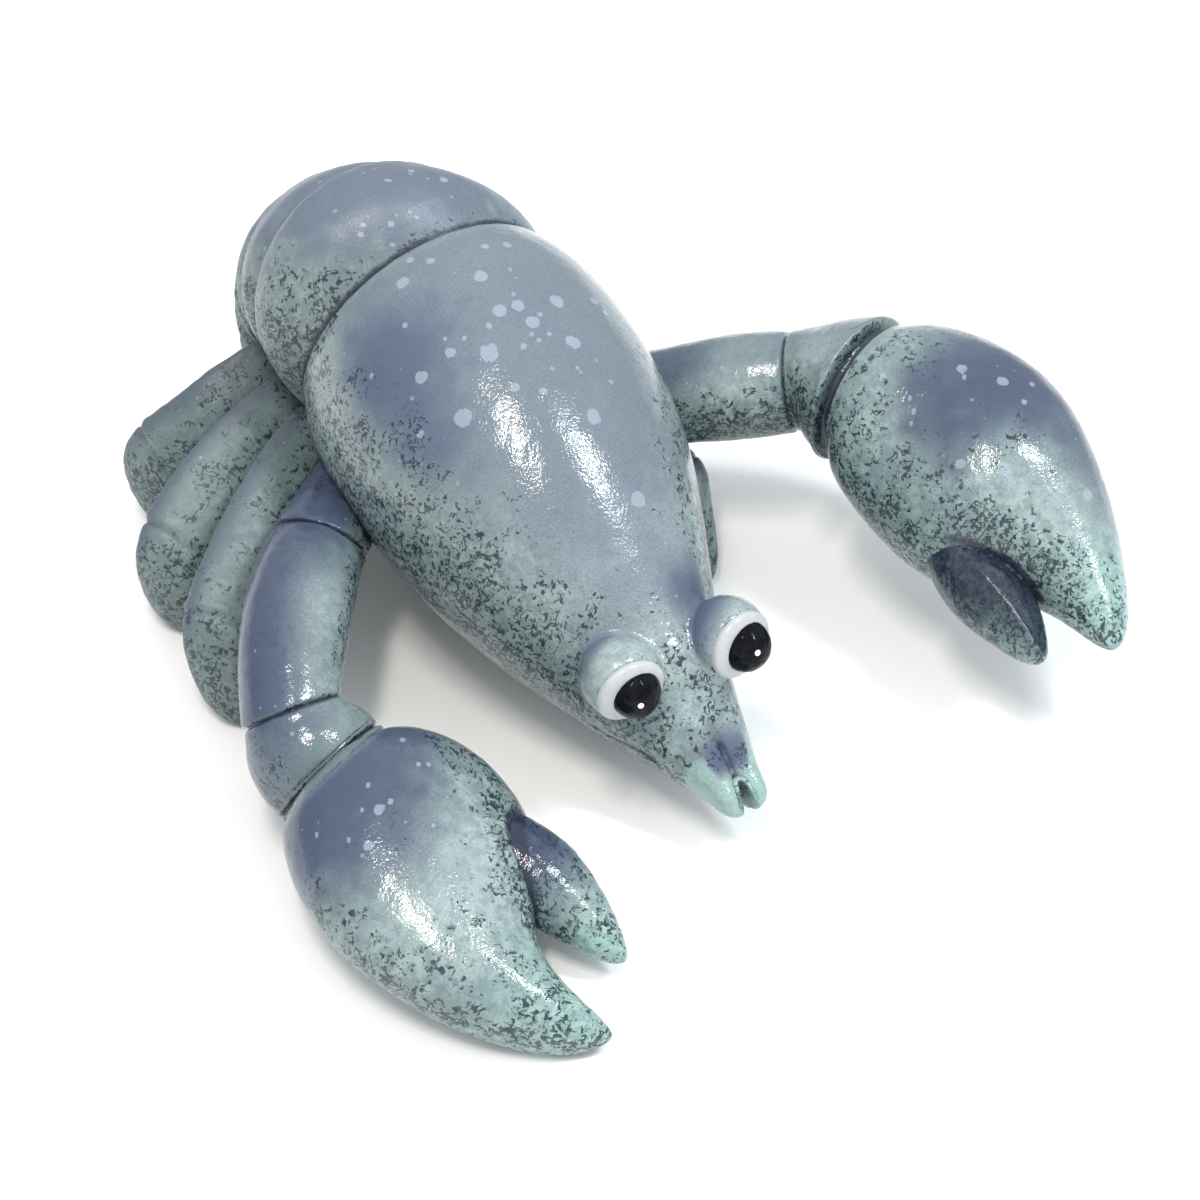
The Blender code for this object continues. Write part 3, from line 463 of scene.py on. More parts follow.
# Camera: the way to it, the point it looks at, its distance in metres and its angle of view.
CAMERA_WAY = (-0.3983, -0.6134, 0.6820)
CAMERA_TARGET = (15.75, -24.6, 0.0)
CAMERA_DISTANCE = 0.679
CAMERA_ANGLE = 22.0
TABLE_WHITE = (0.95, 0.95, 0.945)
TABLE_CLOUD = (0.97, 0.97, 0.97)
SKY_WHITE = (0.95, 0.98, 1.0, 1)


class Ring:
    """One ring of a cage: centre, unit vectors across and up, half width, height and depth."""

    def __init__(self, centre, across, up, width, top, bottom=None, profile=None):
        self.centre = Vector(centre)
        self.across = across.normalized()
        self.up = up.normalized()
        self.width = width
        self.top = top
        self.bottom = top if bottom is None else bottom
        self.profile = profile

    def points(self, sides):
        """Cage points, in metres, that put the subdivided surface at the stated half sizes."""
        reach = 3.0 / (2.0 + math.cos(math.tau / sides))
        found = []
        for k in range(sides):
            angle = math.tau * k / sides
            side, rise = math.cos(angle), math.sin(angle)
            height = self.top if rise > 0 else self.bottom
            factor = reach * (self.profile[k] if self.profile else 1.0)
            offset = self.across * side * self.width + self.up * rise * height
            found.append(placed(self.centre + offset * factor))
        return found


def placed(point):
    return (Vector(point) + SHIFT) * MM


def select_only(*pieces):
    """Selects these pieces alone, and makes the first one active."""
    bpy.ops.object.select_all(action="DESELECT")
    for piece in pieces:
        piece.select_set(True)
    if pieces:
        bpy.context.view_layer.objects.active = pieces[0]


def settle(piece, before, after):
    """Sends the selected ring of points, which lies on before, to after."""
    shape = bmesh.from_edit_mesh(piece.data)
    for k, vert in enumerate([vert for vert in shape.verts if vert.select]):
        if before is not None:
            k = min(range(len(before)), key=lambda n: (vert.co - before[n]).length_squared)
        vert.co = after[k]
    bmesh.update_edit_mesh(piece.data)


def select_near(piece, points):
    """Selects the points of the piece that lie on the given ones."""
    bpy.ops.mesh.select_all(action="DESELECT")
    shape = bmesh.from_edit_mesh(piece.data)
    for vert in shape.verts:
        if min((vert.co - point).length for point in points) < SAME_PLACE:
            vert.select_set(True)
    shape.select_flush(True)
    bmesh.update_edit_mesh(piece.data)


def draw_to_point(piece, tip):
    """Extrudes the selected end and gathers it in a point."""
    bpy.ops.mesh.extrude_region_move()
    bpy.ops.mesh.merge(type="CENTER")
    settle(piece, None, [placed(tip)])


def face_outwards():
    """Turns the faces of the piece in edit mode outwards, and leaves edit mode."""
    bpy.ops.mesh.select_all(action="SELECT")
    bpy.ops.mesh.normals_make_consistent(inside=False)
    bpy.ops.object.mode_set(mode="OBJECT")


def loft(name, rings, sides, levels, start=None, end=None):
    """Subdivided tube, extruded from ring to ring and drawn to a point at an end that is given."""
    select_only()
    bpy.ops.mesh.primitive_circle_add(vertices=sides, radius=MM, fill_type="NGON")
    piece = bpy.context.object
    piece.name = piece.data.name = name
    rows = [ring.points(sides) for ring in rings]
    bpy.ops.object.mode_set(mode="EDIT")
    bpy.ops.mesh.select_all(action="SELECT")
    settle(piece, None, rows[0])
    for here, there in zip(rows, rows[1:]):
        bpy.ops.mesh.extrude_region_move()
        settle(piece, here, there)
    if end is not None:
        draw_to_point(piece, end)
    if start is not None:
        select_near(piece, rows[0])
        draw_to_point(piece, start)
    face_outwards()
    apply_modifier(piece, "SUBSURF", levels=levels, render_levels=levels)
    return piece


def apply_modifier(piece, kind, **settings):
    modifier = piece.modifiers.new(kind.title(), kind)
    for key, value in settings.items():
        setattr(modifier, key, value)
    bpy.context.view_layer.objects.active = piece
    bpy.ops.object.modifier_apply(modifier=modifier.name)


def read_points(piece):
    """The piece's points in millimetres."""
    found = np.empty(len(piece.data.vertices) * 3)
    piece.data.vertices.foreach_get("co", found)
    return found.reshape(-1, 3) / MM - np.array(SHIFT)


def read_surface(piece):
    """The piece's points in millimetres, and their normals."""
    normals = np.empty(len(piece.data.vertices) * 3)
    piece.data.vertex_normals.foreach_get("vector", normals)
    return read_points(piece), normals.reshape(-1, 3)


def write_points(piece, points):
    piece.data.vertices.foreach_set("co", ((points + np.array(SHIFT)) * MM).ravel())
    piece.data.update()


def stand_on_table(piece, points):
    """Writes the points, with none of them under the table top."""
    points[:, 2] = np.maximum(points[:, 2], 0.0)
    write_points(piece, points)


def step(values, low, high):
    """Smooth step from 0 at low to 1 at high."""
    share = np.clip((values - low) / (high - low), 0, 1)
    return share * share * (3 - 2 * share)


def bell(values, width):
    """Bell curve that is 1 at zero."""
    return np.exp(-(values / width) ** 2)


def distance_to(points, place):
    return np.linalg.norm(points - np.array(place), axis=1)


def depth_along(points, start, way):
    """How far each point lies from start in the direction of way."""
    return (points - np.array(start)) @ np.array(way)


def waves(points, size, seed=0.0, layers=2):
    """Smooth noise from about -1 to 1 with waves of that size, made of turned sine products."""
    total = np.zeros(len(points))
    for k in range(layers):
        axis = Vector((0.3 + k, 0.8, 0.5 + seed % 1.0))
        turn = np.array(Matrix.Rotation(1.1 + 2.3 * k + seed, 3, axis))
        q = points @ turn.T * (math.tau / size) * (1.0 + 0.73 * k) + seed * 7.1
        swirl = np.sin(q[:, [1, 2, 0]] * 0.61 + 1.3)
        total += (np.sin(q + swirl * 1.4)).prod(1) * 1.6 / (1 + 0.5 * k)
    return total / layers * 1.2


def undulate(piece, amount, size, seed=0.0):
    """The slight unevenness of a hand-finished cast."""
    points, normals = read_surface(piece)
    write_points(piece, points + normals * (waves(points, size, seed) * amount)[:, None])


def body_point(share):
    return RIM + FORWARD * CARAPACE_LENGTH * share - BODY_UP * NOSE_DROOP * share * share


def gaze_of(side):
    lift, turn = GAZE[side]
    return way_of(turn, -lift)


def eye_centre(sign):
    return Vector(EYE_MID) + turned(ACROSS * sign * EYE_SPREAD, -EYE_TURN, "Z")


def axis_ring(centre, axis, radius, stretch=1.0):
    side = axis.cross(SKY)
    return Ring(centre, side, side.cross(axis), radius, radius * stretch)


def build_shell():
    """Carapace, snout and lids as one sculpted skin."""
    rings = []
    for ahead, inset in RIM_ROLL:
        sizes = [size - inset for size in CARAPACE_RINGS[0][1:4]]
        rings.append(Ring(RIM + FORWARD * ahead, ACROSS, BODY_UP, *sizes))
    for share, width, top, bottom, sway in CARAPACE_RINGS[1:]:
        rings.append(Ring(body_point(share) + ACROSS * sway, ACROSS, BODY_UP, width, top, bottom))
    nose = body_point(1.0)
    for ahead, share, height in SNOUT_RINGS:
        rings.append(Ring(nose + FORWARD * ahead, ACROSS, BODY_UP, SNOUT_HALF_WIDTH * share, height))
    shell = loft("shell", rings, 14, 3, end=nose + FORWARD * SNOUT_TIP)
    lids = []
    for sign, side in SIDES.items():
        centre, gaze = eye_centre(sign), gaze_of(side)
        stations = [axis_ring(centre + gaze * LID_RADIUS * math.sin(a), gaze, LID_RADIUS * math.cos(a))
                    for a in np.radians(LID_ANGLES)]
        stations += [axis_ring(centre + gaze * ahead, gaze, radius) for ahead, radius in LID_LIP]
        lids.append(loft("lid_" + side, stations, 16, 2, centre - gaze * LID_RADIUS,
                         centre + gaze * LID_FLOOR))
    cut_snout(shell)
    select_only(shell, *lids)
    bpy.ops.object.join()
    apply_modifier(shell, "REMESH", mode="VOXEL", voxel_size=SHELL_VOXEL * MM)
    soften_lids(shell)
    carve_snout(shell)
    undulate(shell, 0.05, 11.0)
    return shell


def cut_snout(shell):
    """Parts the end of the snout into two prongs."""
    tip = body_point(1.0) + FORWARD * WEDGE_START
    select_only()
    bpy.ops.mesh.primitive_cube_add(size=1.0)
    wedge = bpy.context.object
    for corner in wedge.data.vertices:
        front = corner.co.y < 0
        width = WEDGE_MOUTH if front else WEDGE_ROOT
        place = tip - (Vector() if front else FORWARD * WEDGE_LENGTH)
        rise = BODY_UP * WEDGE_HALF_HEIGHT * (1 if corner.co.z > 0 else -1)
        corner.co = placed(place + rise + ACROSS * width * (1 if corner.co.x > 0 else -1) / 2)
    bpy.ops.object.mode_set(mode="EDIT")
    face_outwards()
    apply_modifier(shell, "BOOLEAN", operation="DIFFERENCE", object=wedge)
    bpy.data.objects.remove(wedge, do_unlink=True)


def soften_lids(shell):
    """Fillets where the lids grow out of the head."""
    points, normals = read_surface(shell)
    weight = np.zeros(len(points))
    for sign in SIDES:
        away = points - np.array(eye_centre(sign))
        distance = np.linalg.norm(away, axis=1)
        facing = (away * normals).sum(1) / distance
        near = 1 - step(distance - LID_RADIUS, *LID_FILLET)
        # What faces straight away from the ball is the lid itself, and keeps its shape.
        weight = np.maximum(weight, near * (1 - step(facing, 0.86, 0.97)))
    group = shell.vertex_groups.new(name="fillet")
    for k in np.nonzero(weight > 0.02)[0]:
        group.add([int(k)], float(weight[k]), "REPLACE")
    apply_modifier(shell, "SMOOTH", factor=0.5, iterations=26, vertex_group="fillet")
    apply_modifier(shell, "SMOOTH", factor=0.5, iterations=3)


def carve_snout(shell):
    """Trough, groove and ridges on the snout, the brow, and the line of the mouth."""
    points, normals = read_surface(shell)
    along = depth_along(points, RIM, FORWARD)
    aside = points[:, 0] - SNOUT_MIDDLE
    upward = step(normals @ np.array(BODY_UP), 0.1, 0.6)
    cut = bell(mouth_distance(points), MOUTH_CREASE) * MOUTH_CREASE
    cut -= bell(distance_to(points, BROW), BROW_REACH)
    places = (aside, aside, np.abs(aside) - RIDGE_ASIDE)
    for place, (width, starts, full, depth) in zip(places, (TROUGH, GROOVE, RIDGES)):
        cut += bell(place, width) * step(along, starts, full) * upward * depth
    reach, size, height = RIPPLE
    cut -= bell(line_distance(points, BROW_LINE), reach) * waves(points, size, 5.0) * height
    write_points(shell, points - normals * cut[:, None])


def line_distance(points, line, flatten=1.0):
    """Distance to a line of points, with its part across the body scaled by flatten."""
    nearest = np.full(len(points), 99.0)
    for a, b in zip(line, line[1:]):
        a, b = np.array(a, float), np.array(b, float)
        along = np.clip(((points - a) @ (b - a)) / ((b - a) @ (b - a)), 0, 1)
        gap = points - a - along[:, None] * (b - a)
        gap[:, 0] *= flatten
        nearest = np.minimum(nearest, np.linalg.norm(gap, axis=1))
    return nearest


def mouth_distance(points):
    """Distance to the nearer of the two lines of the mouth."""
    lines = ([(row[k], *row[2:]) for row in MOUTH] for k in (0, 1))
    return np.minimum(*(line_distance(points, line, 0.35) for line in lines))


def build_eye(sign):
    """Raised white disc with its rounded edge, and the black dome on it."""
    side = SIDES[sign]
    centre, gaze = eye_centre(sign), gaze_of(side)
    rows = [axis_ring(centre + gaze * ahead, gaze, radius) for ahead, radius in WHITE_ROWS]
    white = loft("eye_white_" + side, rows, 20, 3)
    heart = centre + gaze * PUPIL_DEPTH + ACROSS * PUPIL_SET
    rows = [axis_ring(heart + gaze * PUPIL_RADIUS * math.sin(a), gaze, PUPIL_RADIUS * math.cos(a),
                      PUPIL_STRETCH) for a in map(math.radians, PUPIL_ANGLES)]
    pupil = loft("eye_dome_" + side, rows, 16, 3, end=heart + gaze * PUPIL_RADIUS)
    undulate(pupil, 0.05, 4.0, sign)
    return white, pupil


def fan_ring(angle, crest, belly, width, swing):
    up = turned(BODY_UP, -angle, "X")
    centre = PIVOT + up * (FAN_RADIUS + (crest + belly) / 2) - ACROSS * swing
    return Ring(centre, ACROSS, up, width, (crest - belly) / 2)


def build_tail_ring(k):
    """Domed ring of the abdomen, tucked under the one in front and rolled in at its rear."""
    front, rear = JOINT_PLANES[k], JOINT_PLANES[k + 1]
    crest, side = RING_SWELL[k]
    arc = math.degrees(1.0 / (FAN_RADIUS + front[1]))
    middle = [(a + b) / 2 for a, b in zip(front, rear)]
    span = rear[0] - front[0]
    lip = (0.8, 0.4) if k == 0 else (-0.6, -0.4)
    rings = []
    for base, angle, up, out in (
            (front, front[0] - arc * 4.5, -5.0, -4.4),
            (front, front[0] - arc * 2.0, -1.6, -1.5),
            (front, front[0] + span * 0.08, *lip),
            (middle, middle[0] - span * 0.06, crest, side),
            (rear, rear[0] - span * 0.14 - arc, crest * 0.8, side * 0.7),
            (rear, rear[0] + arc * 0.1, crest * 0.62, side * 0.3),
            (rear, rear[0] + arc * 0.8, crest * 0.2, -0.6),
            (rear, rear[0] + arc * 0.2, -3.6, -3.2)):
        rings.append(fan_ring(angle, base[1] + up, base[2] + min(up, 0) * 0.3, base[3] + out, base[4]))
    piece = loft("tail_ring_" + str(k + 1), rings, 14, 4)
    undulate(piece, 0.08, 12.0, k + 1.0)
    return piece


def build_lobe(name, widths, splay, reach, drop, root):
    """Lobe of the tail fan, with its raised midrib and fine ribs towards the edge."""
    swing = Matrix.Rotation(math.radians(splay), 3, "Z")
    base = FAN_ROOT + Vector((root, 0, 0))
    middles = []
    for behind, height in LOBE_PATH:
        out = swing @ Vector((0, behind * reach, 0))
        middles.append(base + SKY * max(height - drop, LOBE_FLOOR) + out)
    across = swing @ ACROSS
    rings = []
    for k, (width, thickness) in enumerate(zip(widths, LOBE_THICKNESS)):
        ahead = middles[k + 1] - middles[max(k - 1, 0)]
        rings.append(Ring(middles[k], across, across.cross(ahead), width, thickness))
    piece = loft("fan_" + name, rings, 6, 5, end=middles[-1])
    points, normals = read_surface(piece)
    local = (points - np.array(base)) @ np.array(swing)
    width, height = MIDRIB
    spacing, fine_height = FINE_RIBS
    fine = np.cos(local[:, 0] * math.tau / spacing) * fine_height * step(local[:, 1], 4, 16)
    rise = (bell(local[:, 0], width) * height + fine) * step(normals[:, 2], 0.1, 0.6)
    stand_on_table(piece, points + normals * rise[:, None])
    return piece


def build_breast():
    """Breast plate with a groove between its segments."""
    rings = [Ring((0, y, BREAST_MID), ACROSS, SKY, width, BREAST_DEPTH) for y, width in BREAST_ROWS]
    piece = loft("breast_plate", rings, 8, 5, *BREAST_ENDS)
    points, normals = read_surface(piece)
    cut = sum(bell(points[:, 1] - y, GROOVE_WIDTH) for y in BREAST_GROOVES) * GROOVE_DEPTH
    write_points(piece, points - normals * cut[:, None])
    return piece


def build_leg(label):
    """Leg from its root to its foot, folded at the knee."""
    rows = LEGS[label]
    middles = [Vector(row[0]) + Vector(row[1]) / 2 for row in rows]
    rings = []
    for k, (ridge, way, thickness) in enumerate(rows):
        ahead = middles[min(k + 1, len(rows) - 1)] - middles[max(k - 1, 0)]
        way = Vector(way)
        rings.append(Ring(Vector(ridge) + way / 2, ahead.cross(way), -way, thickness / 2, way.length / 2,
                          profile=LEG_PROFILE))
    piece = loft("leg_" + label + "_painted", rings, 8, 4)
    points, normals = read_surface(piece)
    ahead = (middles[KNEE_ROW + 1] - middles[KNEE_ROW - 1]).normalized()
    bend = depth_along(points, middles[KNEE_ROW], ahead) + waves(points, 14.0, 2.0) * 0.5
    cut = sum(bell(bend - place, width) * depth for place, width, depth in KNEE_RELIEF)
    stand_on_table(piece, points - normals * cut[:, None])
    undulate(piece, 0.1, 8.0, len(label))
    return piece


def claw_ring(row, roll, profile=None):
    centre, heading, width, top = row[:4]
    bottom = row[4] if len(row) > 4 else top
    ahead = way_of(heading)
    across = Matrix.Rotation(math.radians(roll), 3, ahead) @ turned(ACROSS, heading, "Z")
    return Ring(centre, across, ahead.cross(across), width, top, bottom, profile)


def arm_rings(side):
    """Rings from the shoulder to the wrist, with the profile of each joint worked in."""
    rows = ARMS[side]
    centres = [Vector(row[0]) for row in rows]
    rings = []
    for k, (_, radius) in enumerate(rows):
        ahead = centres[min(k + 1, len(rows) - 1)] - centres[max(k - 1, 0)]
        offsets = ((0.0, 0.0),)
        if k in ARM_JOINTS[side]:
            heading, dip, profile = ARM_JOINTS[side][k]
            ahead = way_of(heading, dip)
            offsets = JOINT_PROFILES[profile]
        ahead.normalize()
        across = SKY.cross(ahead)
        for along, swell in offsets:
            rings.append(Ring(centres[k] + ahead * along, across, ahead.cross(across), radius + swell,
                              radius + swell))
    return rings


def build_arm(side):
    """Arm and claw in one skin, from the shoulder to the tip of the fixed finger."""
    rings = arm_rings(side)
    # The palm's roll grows over its first rows.
    for k, row in enumerate(PALMS[side]):
        rings.append(claw_ring(row, PALM_ROLL[side] * min(1.0, 0.4 + 0.3 * k)))
    piece = loft("arm_and_claw_" + side, rings, 10, 4, end=CLAW_TIPS[side])
    stand_on_table(piece, read_points(piece))
    undulate(piece, 0.06, 10.0, len(side))
    return piece


def build_finger(side):
    """Movable finger; the left one has a flattened inner face and a ridge along its edge."""
    rings = [claw_ring(row, CLAW_ROLL[side], FINGER_PROFILES[side]) for row in FINGERS[side]]
    first = rings[0].centre
    root = first - (rings[1].centre - first).normalized() * FINGER_ROOT
    piece = loft("finger_" + side, rings, 8, 5, root, FINGER_TIPS[side])
    points, normals = read_surface(piece)
    if side == "left":
        ridge = bell(finger_angles(points, side) - 96, 7.0) * step(-points[:, 1], 84, 92)
        points += normals * (ridge * 0.45)[:, None]
    stand_on_table(piece, points)
    undulate(piece, 0.08, 7.0, len(side) + 0.5)
    return piece


def finger_angles(points, side):
    """Angle of each point round the finger, from its inner side over its top."""
    rows = FINGERS[side]
    along = [-row[0][1] for row in rows]

    def between(values):
        return np.interp(-points[:, 1], along, values)

    away = points - np.stack([between([row[0][k] for row in rows]) for k in range(3)], 1)
    middle = claw_ring(rows[2], CLAW_ROLL[side])
    out = (away @ np.array(middle.across)) / between([row[2] for row in rows])
    rise = (away @ np.array(middle.up)) / between([row[3] for row in rows])
    return np.degrees(np.arctan2(rise, out))


def crowding(piece, own_nodes):
    """Distance of each point to the nearest other part of the figurine, up to CROWD_REACH."""
    corners, faces = [], []
    for name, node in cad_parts.items():
        if name not in own_nodes:
            base = len(corners)
            corners += [tuple(vert.co) for vert in node.data.vertices]
            faces += [tuple(base + k for k in polygon.vertices) for polygon in node.data.polygons]
    tree = BVHTree.FromPolygons(corners, faces)
    hits = (tree.find_nearest(vert.co, CROWD_REACH * MM) for vert in piece.data.vertices)
    return np.array([CROWD_REACH if hit[0] is None else hit[3] / MM for hit in hits])


def brushed(points, spots):
    """Strength of airbrushed spots, soft at the edge."""
    total = np.zeros(len(points))
    uneven = 1 + waves(points, 15.0, 0.7) * 0.16
    for centre, reach, strength in spots:
        away = distance_to(points, centre) * uneven
        total = 1 - (1 - total) * (1 - strength * (1 - step(away, reach * 0.1, reach)))
    return total


def drop_field(points):
    """Distance to the edge of the nearest pale drop, negative inside it."""
    nearest = np.full(len(points), FIELD_LIMIT)
    wobble = waves(points, 3.1, 4.0) * 0.22
    low, high = points.min(0) - 2, points.max(0) + 2
    for *centre, radius in DROPS:
        if (centre < low).any() or (centre > high).any():
            continue
        away = distance_to(points, centre)
        if away.min() < DROP_CATCH:
            away = distance_to(points, points[away.argmin()])
            nearest = np.minimum(nearest, away - radius * (1 + wobble))
    return nearest


def write_layer(piece, name, values):
    values = values + np.zeros(len(piece.data.vertices))
    layer = piece.data.attributes.new(name, "FLOAT", "POINT")
    layer.data.foreach_set("value", np.asarray(values, np.float32))


def paint(piece, nodes, blue, mint, speck, wash_and_shade=0.0, pale=0.0, seams=1.0):
    """Paint layers of a piece: blue airbrush, mint, pale sponge and painted highlight, speckle, dark wash
    and painted shade, and drops.
    """
    gap = crowding(piece, nodes)
    # Near other parts the speckle thickens and the dark wash comes in: painted shade in the crevices
    # between parts.
    speck = speck + 0.3 * (1 - step(gap, 1.0, CROWD_REACH)) * seams
    wash_and_shade = np.maximum((1 - step(gap, 0.2, 1.9)) * seams, wash_and_shade)
    layers = {"blue": blue, "mint": mint, "pale": pale, "speck": speck, "wash_and_shade": wash_and_shade}
    for name, values in layers.items():
        write_layer(piece, name, np.clip(values, 0, 1))
    write_layer(piece, "drop", drop_field(read_points(piece)))


def paint_shell(shell):
    points, normals = read_surface(shell)
    along = depth_along(points, RIM, FORWARD)
    lift = normals[:, 2] + waves(points, 19.0, 1.0) * 0.07
    crown = step(lift, 0.28, 0.8) * (1 - step(along, 86, 100) * 0.7)
    blue = 1 - (1 - crown * 0.5) * (1 - brushed(points, BLUE_SHELL))
    lid = np.zeros(len(points))
    for sign, side in SIDES.items():
        away = points - np.array(eye_centre(sign))
        distance = np.linalg.norm(away, axis=1)
        on_lid = 1 - step(distance, LID_RADIUS + 0.3, LID_RADIUS + 1.2)
        lid = np.maximum(lid, on_lid)
        back = -(away @ np.array(gaze_of(side))) / distance
        # Blue covers the lids from behind, and more of the left one than of the right.
        turn = back - 0.5 * away[:, 0] / distance + (0.22 + 0.13 * sign) * normals[:, 2]
        shade = (0.8 + 0.15 * sign) * step(turn, -0.05 - 0.25 * sign, 0.9)
        blue = blue * (1 - on_lid) + shade * on_lid
        # A blue ring round the back of each lid's base is painted shade where the lid meets the head.
        lid_base_shade = bell(distance - LID_RADIUS - 0.4, 2.0) * step(back, -0.1, 0.6)
        blue = np.maximum(blue, lid_base_shade * 0.42)
    aside = points[:, 0] - SNOUT_MIDDLE
    low = 1 - step(lift, 0.1, 0.9)
    prongs = step(along + 5.0 * step(np.abs(aside), 3.4, 5.6), 119.5, 124)
    speck = np.maximum(low * 0.85, step(along, 88, 104) * 0.5) * (1 - 0.6 * lid) * (1 - 0.95 * prongs)
    pale = np.maximum(brushed(points, PALE_SHELL), lid * 0.85 * (1 - blue)) * (1 - 0.25 * low)
    mint = np.maximum(0.2 * step(along, 90, 115), prongs) * (1 - blue * (1 - prongs))
    # Prongs lose their blue, and the rolled rear rim loses half of it: a lighter rim edge that is partly
    # painted highlight.
    blue = blue * (1 - prongs) * (1 - 0.5 * bell(along - 1.0, 1.4))
    # Painted shade in the slit between the prongs and along the groove behind it.
    slit_shade = bell(aside, 0.7 + 1.3 * step(along, 119, 129)) * step(along, 113, 117)
    slit_shade *= 1 - step(normals[:, 2], 0.6, 0.9)
    slit_shade = np.maximum(slit_shade, 0.4 * bell(aside, 1.8) * step(along, 108, 114) * (1 - prongs))
    wash_and_shade = np.maximum(0.85 * bell(mouth_distance(points), 0.8), slit_shade)
    nodes = [name + side for name in ("eye_lid_", "eyeball_", "pupil_") for side in SIDES.values()]
    paint(shell, ["carapace"] + nodes, blue, mint, speck, wash_and_shade, pale)


def paint_tail_ring(piece, nodes):
    points, normals = read_surface(piece)
    lift = normals[:, 2] + waves(points, 15.0, 1.5) * 0.2
    blue = step(lift, 0.3, 0.85) * 0.65
    paint(piece, nodes, blue, 0.05 * (1 - blue), (1 - step(lift, -0.1, 0.85)) * 0.8)


def paint_limb(piece, nodes, ridge=None):
    points, normals = read_surface(piece)
    lift = normals[:, 2] + waves(points, 11.0, 2.5) * 0.15
    blue = step(lift, 0.5, 0.95) * 0.3
    if ridge is not None:
        blue = np.maximum(blue * 0.5, 0.62 * (1 - step(line_distance(points, ridge), 0.6, 7.0)))
    low = (1 - step(points[:, 2], 12, 34)) * 0.85
    speck = np.maximum(np.maximum(1 - step(lift, 0.0, 0.8), low), 0.3) * (1 - 0.6 * blue)
    paint(piece, nodes, blue, 0.1 * (1 - blue), speck)


def paint_arm(piece, side, nodes):
    points, normals = read_surface(piece)
    heading, dip, _ = ARM_JOINTS[side][WRIST_ROW]
    out = depth_along(points, ARMS[side][WRIST_ROW][0], way_of(heading, dip))
    palm = step(out, 0.0, 3.0)
    arm = 1 - palm
    lift = normals[:, 2] + waves(points, 12.0, 3.5) * 0.12
    if side == "left":
        spots, pales, tip_speck = BLUE_LEFT_CLAW, PALE_LEFT_CLAW, 0.55
        outer = 0.42 * step(lift, 0.5, 0.95) * arm
    else:
        spots, pales, tip_speck = BLUE_RIGHT_CLAW, PALE_RIGHT_CLAW, 0.85
        outer = (0.22 + 0.78 * step(normals @ np.array(RIGHT_ARM_OUT), -0.3, 0.95)) * arm
        outer = outer * (1 - 0.45 * step(out, -20.0, -12.0))
    blue = 1 - (1 - brushed(points, BLUE_ARMS)) * (1 - outer)
    blue = blue * arm + palm * brushed(points, spots) * step(lift, -0.5, 0.35)
    tip = 1 - step(distance_to(points, CLAW_TIPS[side]), 8, 40)
    pale = brushed(points, pales) * palm + brushed(points, PALE_ARMS) * arm
    mint = np.maximum(0.12 * palm * (1 - blue), tip * 0.85)
    speck = np.maximum(1 - step(lift, 0.05, 0.85), 0.36 * palm) * (1 - 0.7 * blue)
    speck = np.maximum(speck, tip * tip_speck) * (1 - 0.5 * pale)
    wash_and_shade = np.maximum(0.5 * brushed(points, SHOULDER_SHADE) * arm, 0.22 * blue * arm)
    seams = 1.0
    if side == "right":
        edge = line_distance(points, RIGHT_PALM_EDGE)
        speck = np.maximum(speck, 0.95 * (1 - step(edge, 3.0, 15.0)))
    else:
        near_mouth = line_distance(points, LEFT_MOUTH)
        seams = 1 - step(near_mouth, 3.0, 7.0)
        speck = speck * (1 - 0.7 * brushed(points, CLEAN_LEFT_CLAW))
        speck = np.maximum(speck, 1 - step(near_mouth, 4.0, 18.0))
        # Painted shade in the gape of the left claw.
        wash_and_shade = np.maximum(wash_and_shade, 0.35 * (1 - step(near_mouth, 1.0, 9.0)))
    for row, (heading, dip, profile) in ARM_JOINTS[side].items():
        centre = ARMS[side][row][0]
        depth = depth_along(points, centre, way_of(heading, dip))
        if profile == "slot":
            line = np.exp(-((depth + 0.2) / 1.5) ** 4)
        elif profile == "collar":
            line = bell(depth + 0.9, 0.36) + 0.5 * bell(depth - 1.2, 0.4)
        else:
            line = bell(depth, 0.36) * 0.8
        wash_and_shade = np.maximum(wash_and_shade, line * (distance_to(points, centre) < JOINT_REACH))
    paint(piece, nodes, blue, mint, speck, wash_and_shade, pale, seams)


def paint_finger(piece, side, nodes):
    points = read_points(piece)
    tip = 1 - step(distance_to(points, FINGER_TIPS[side]), 6, 24)
    if side == "right":
        blue = brushed(points, BLUE_RIGHT_FINGER)
        paint(piece, nodes, blue, np.maximum(tip, 0.25), 0.6 * (1 - 0.6 * blue), 0.45 * blue)
        return
    angle = finger_angles(points, side)
    inner = step(angle, -60, -30) * (1 - step(angle, 92, 97)) * step(-points[:, 1], 82, 88)
    dark = 0.52 + 0.45 * bell(angle - 112, 42.0)
    wash_and_shade = np.maximum(inner * 0.95, dark * (1 - 0.35 * tip))
    paint(piece, nodes, inner * 0.3, 0.5 * tip, 1.0, wash_and_shade, seams=inner)


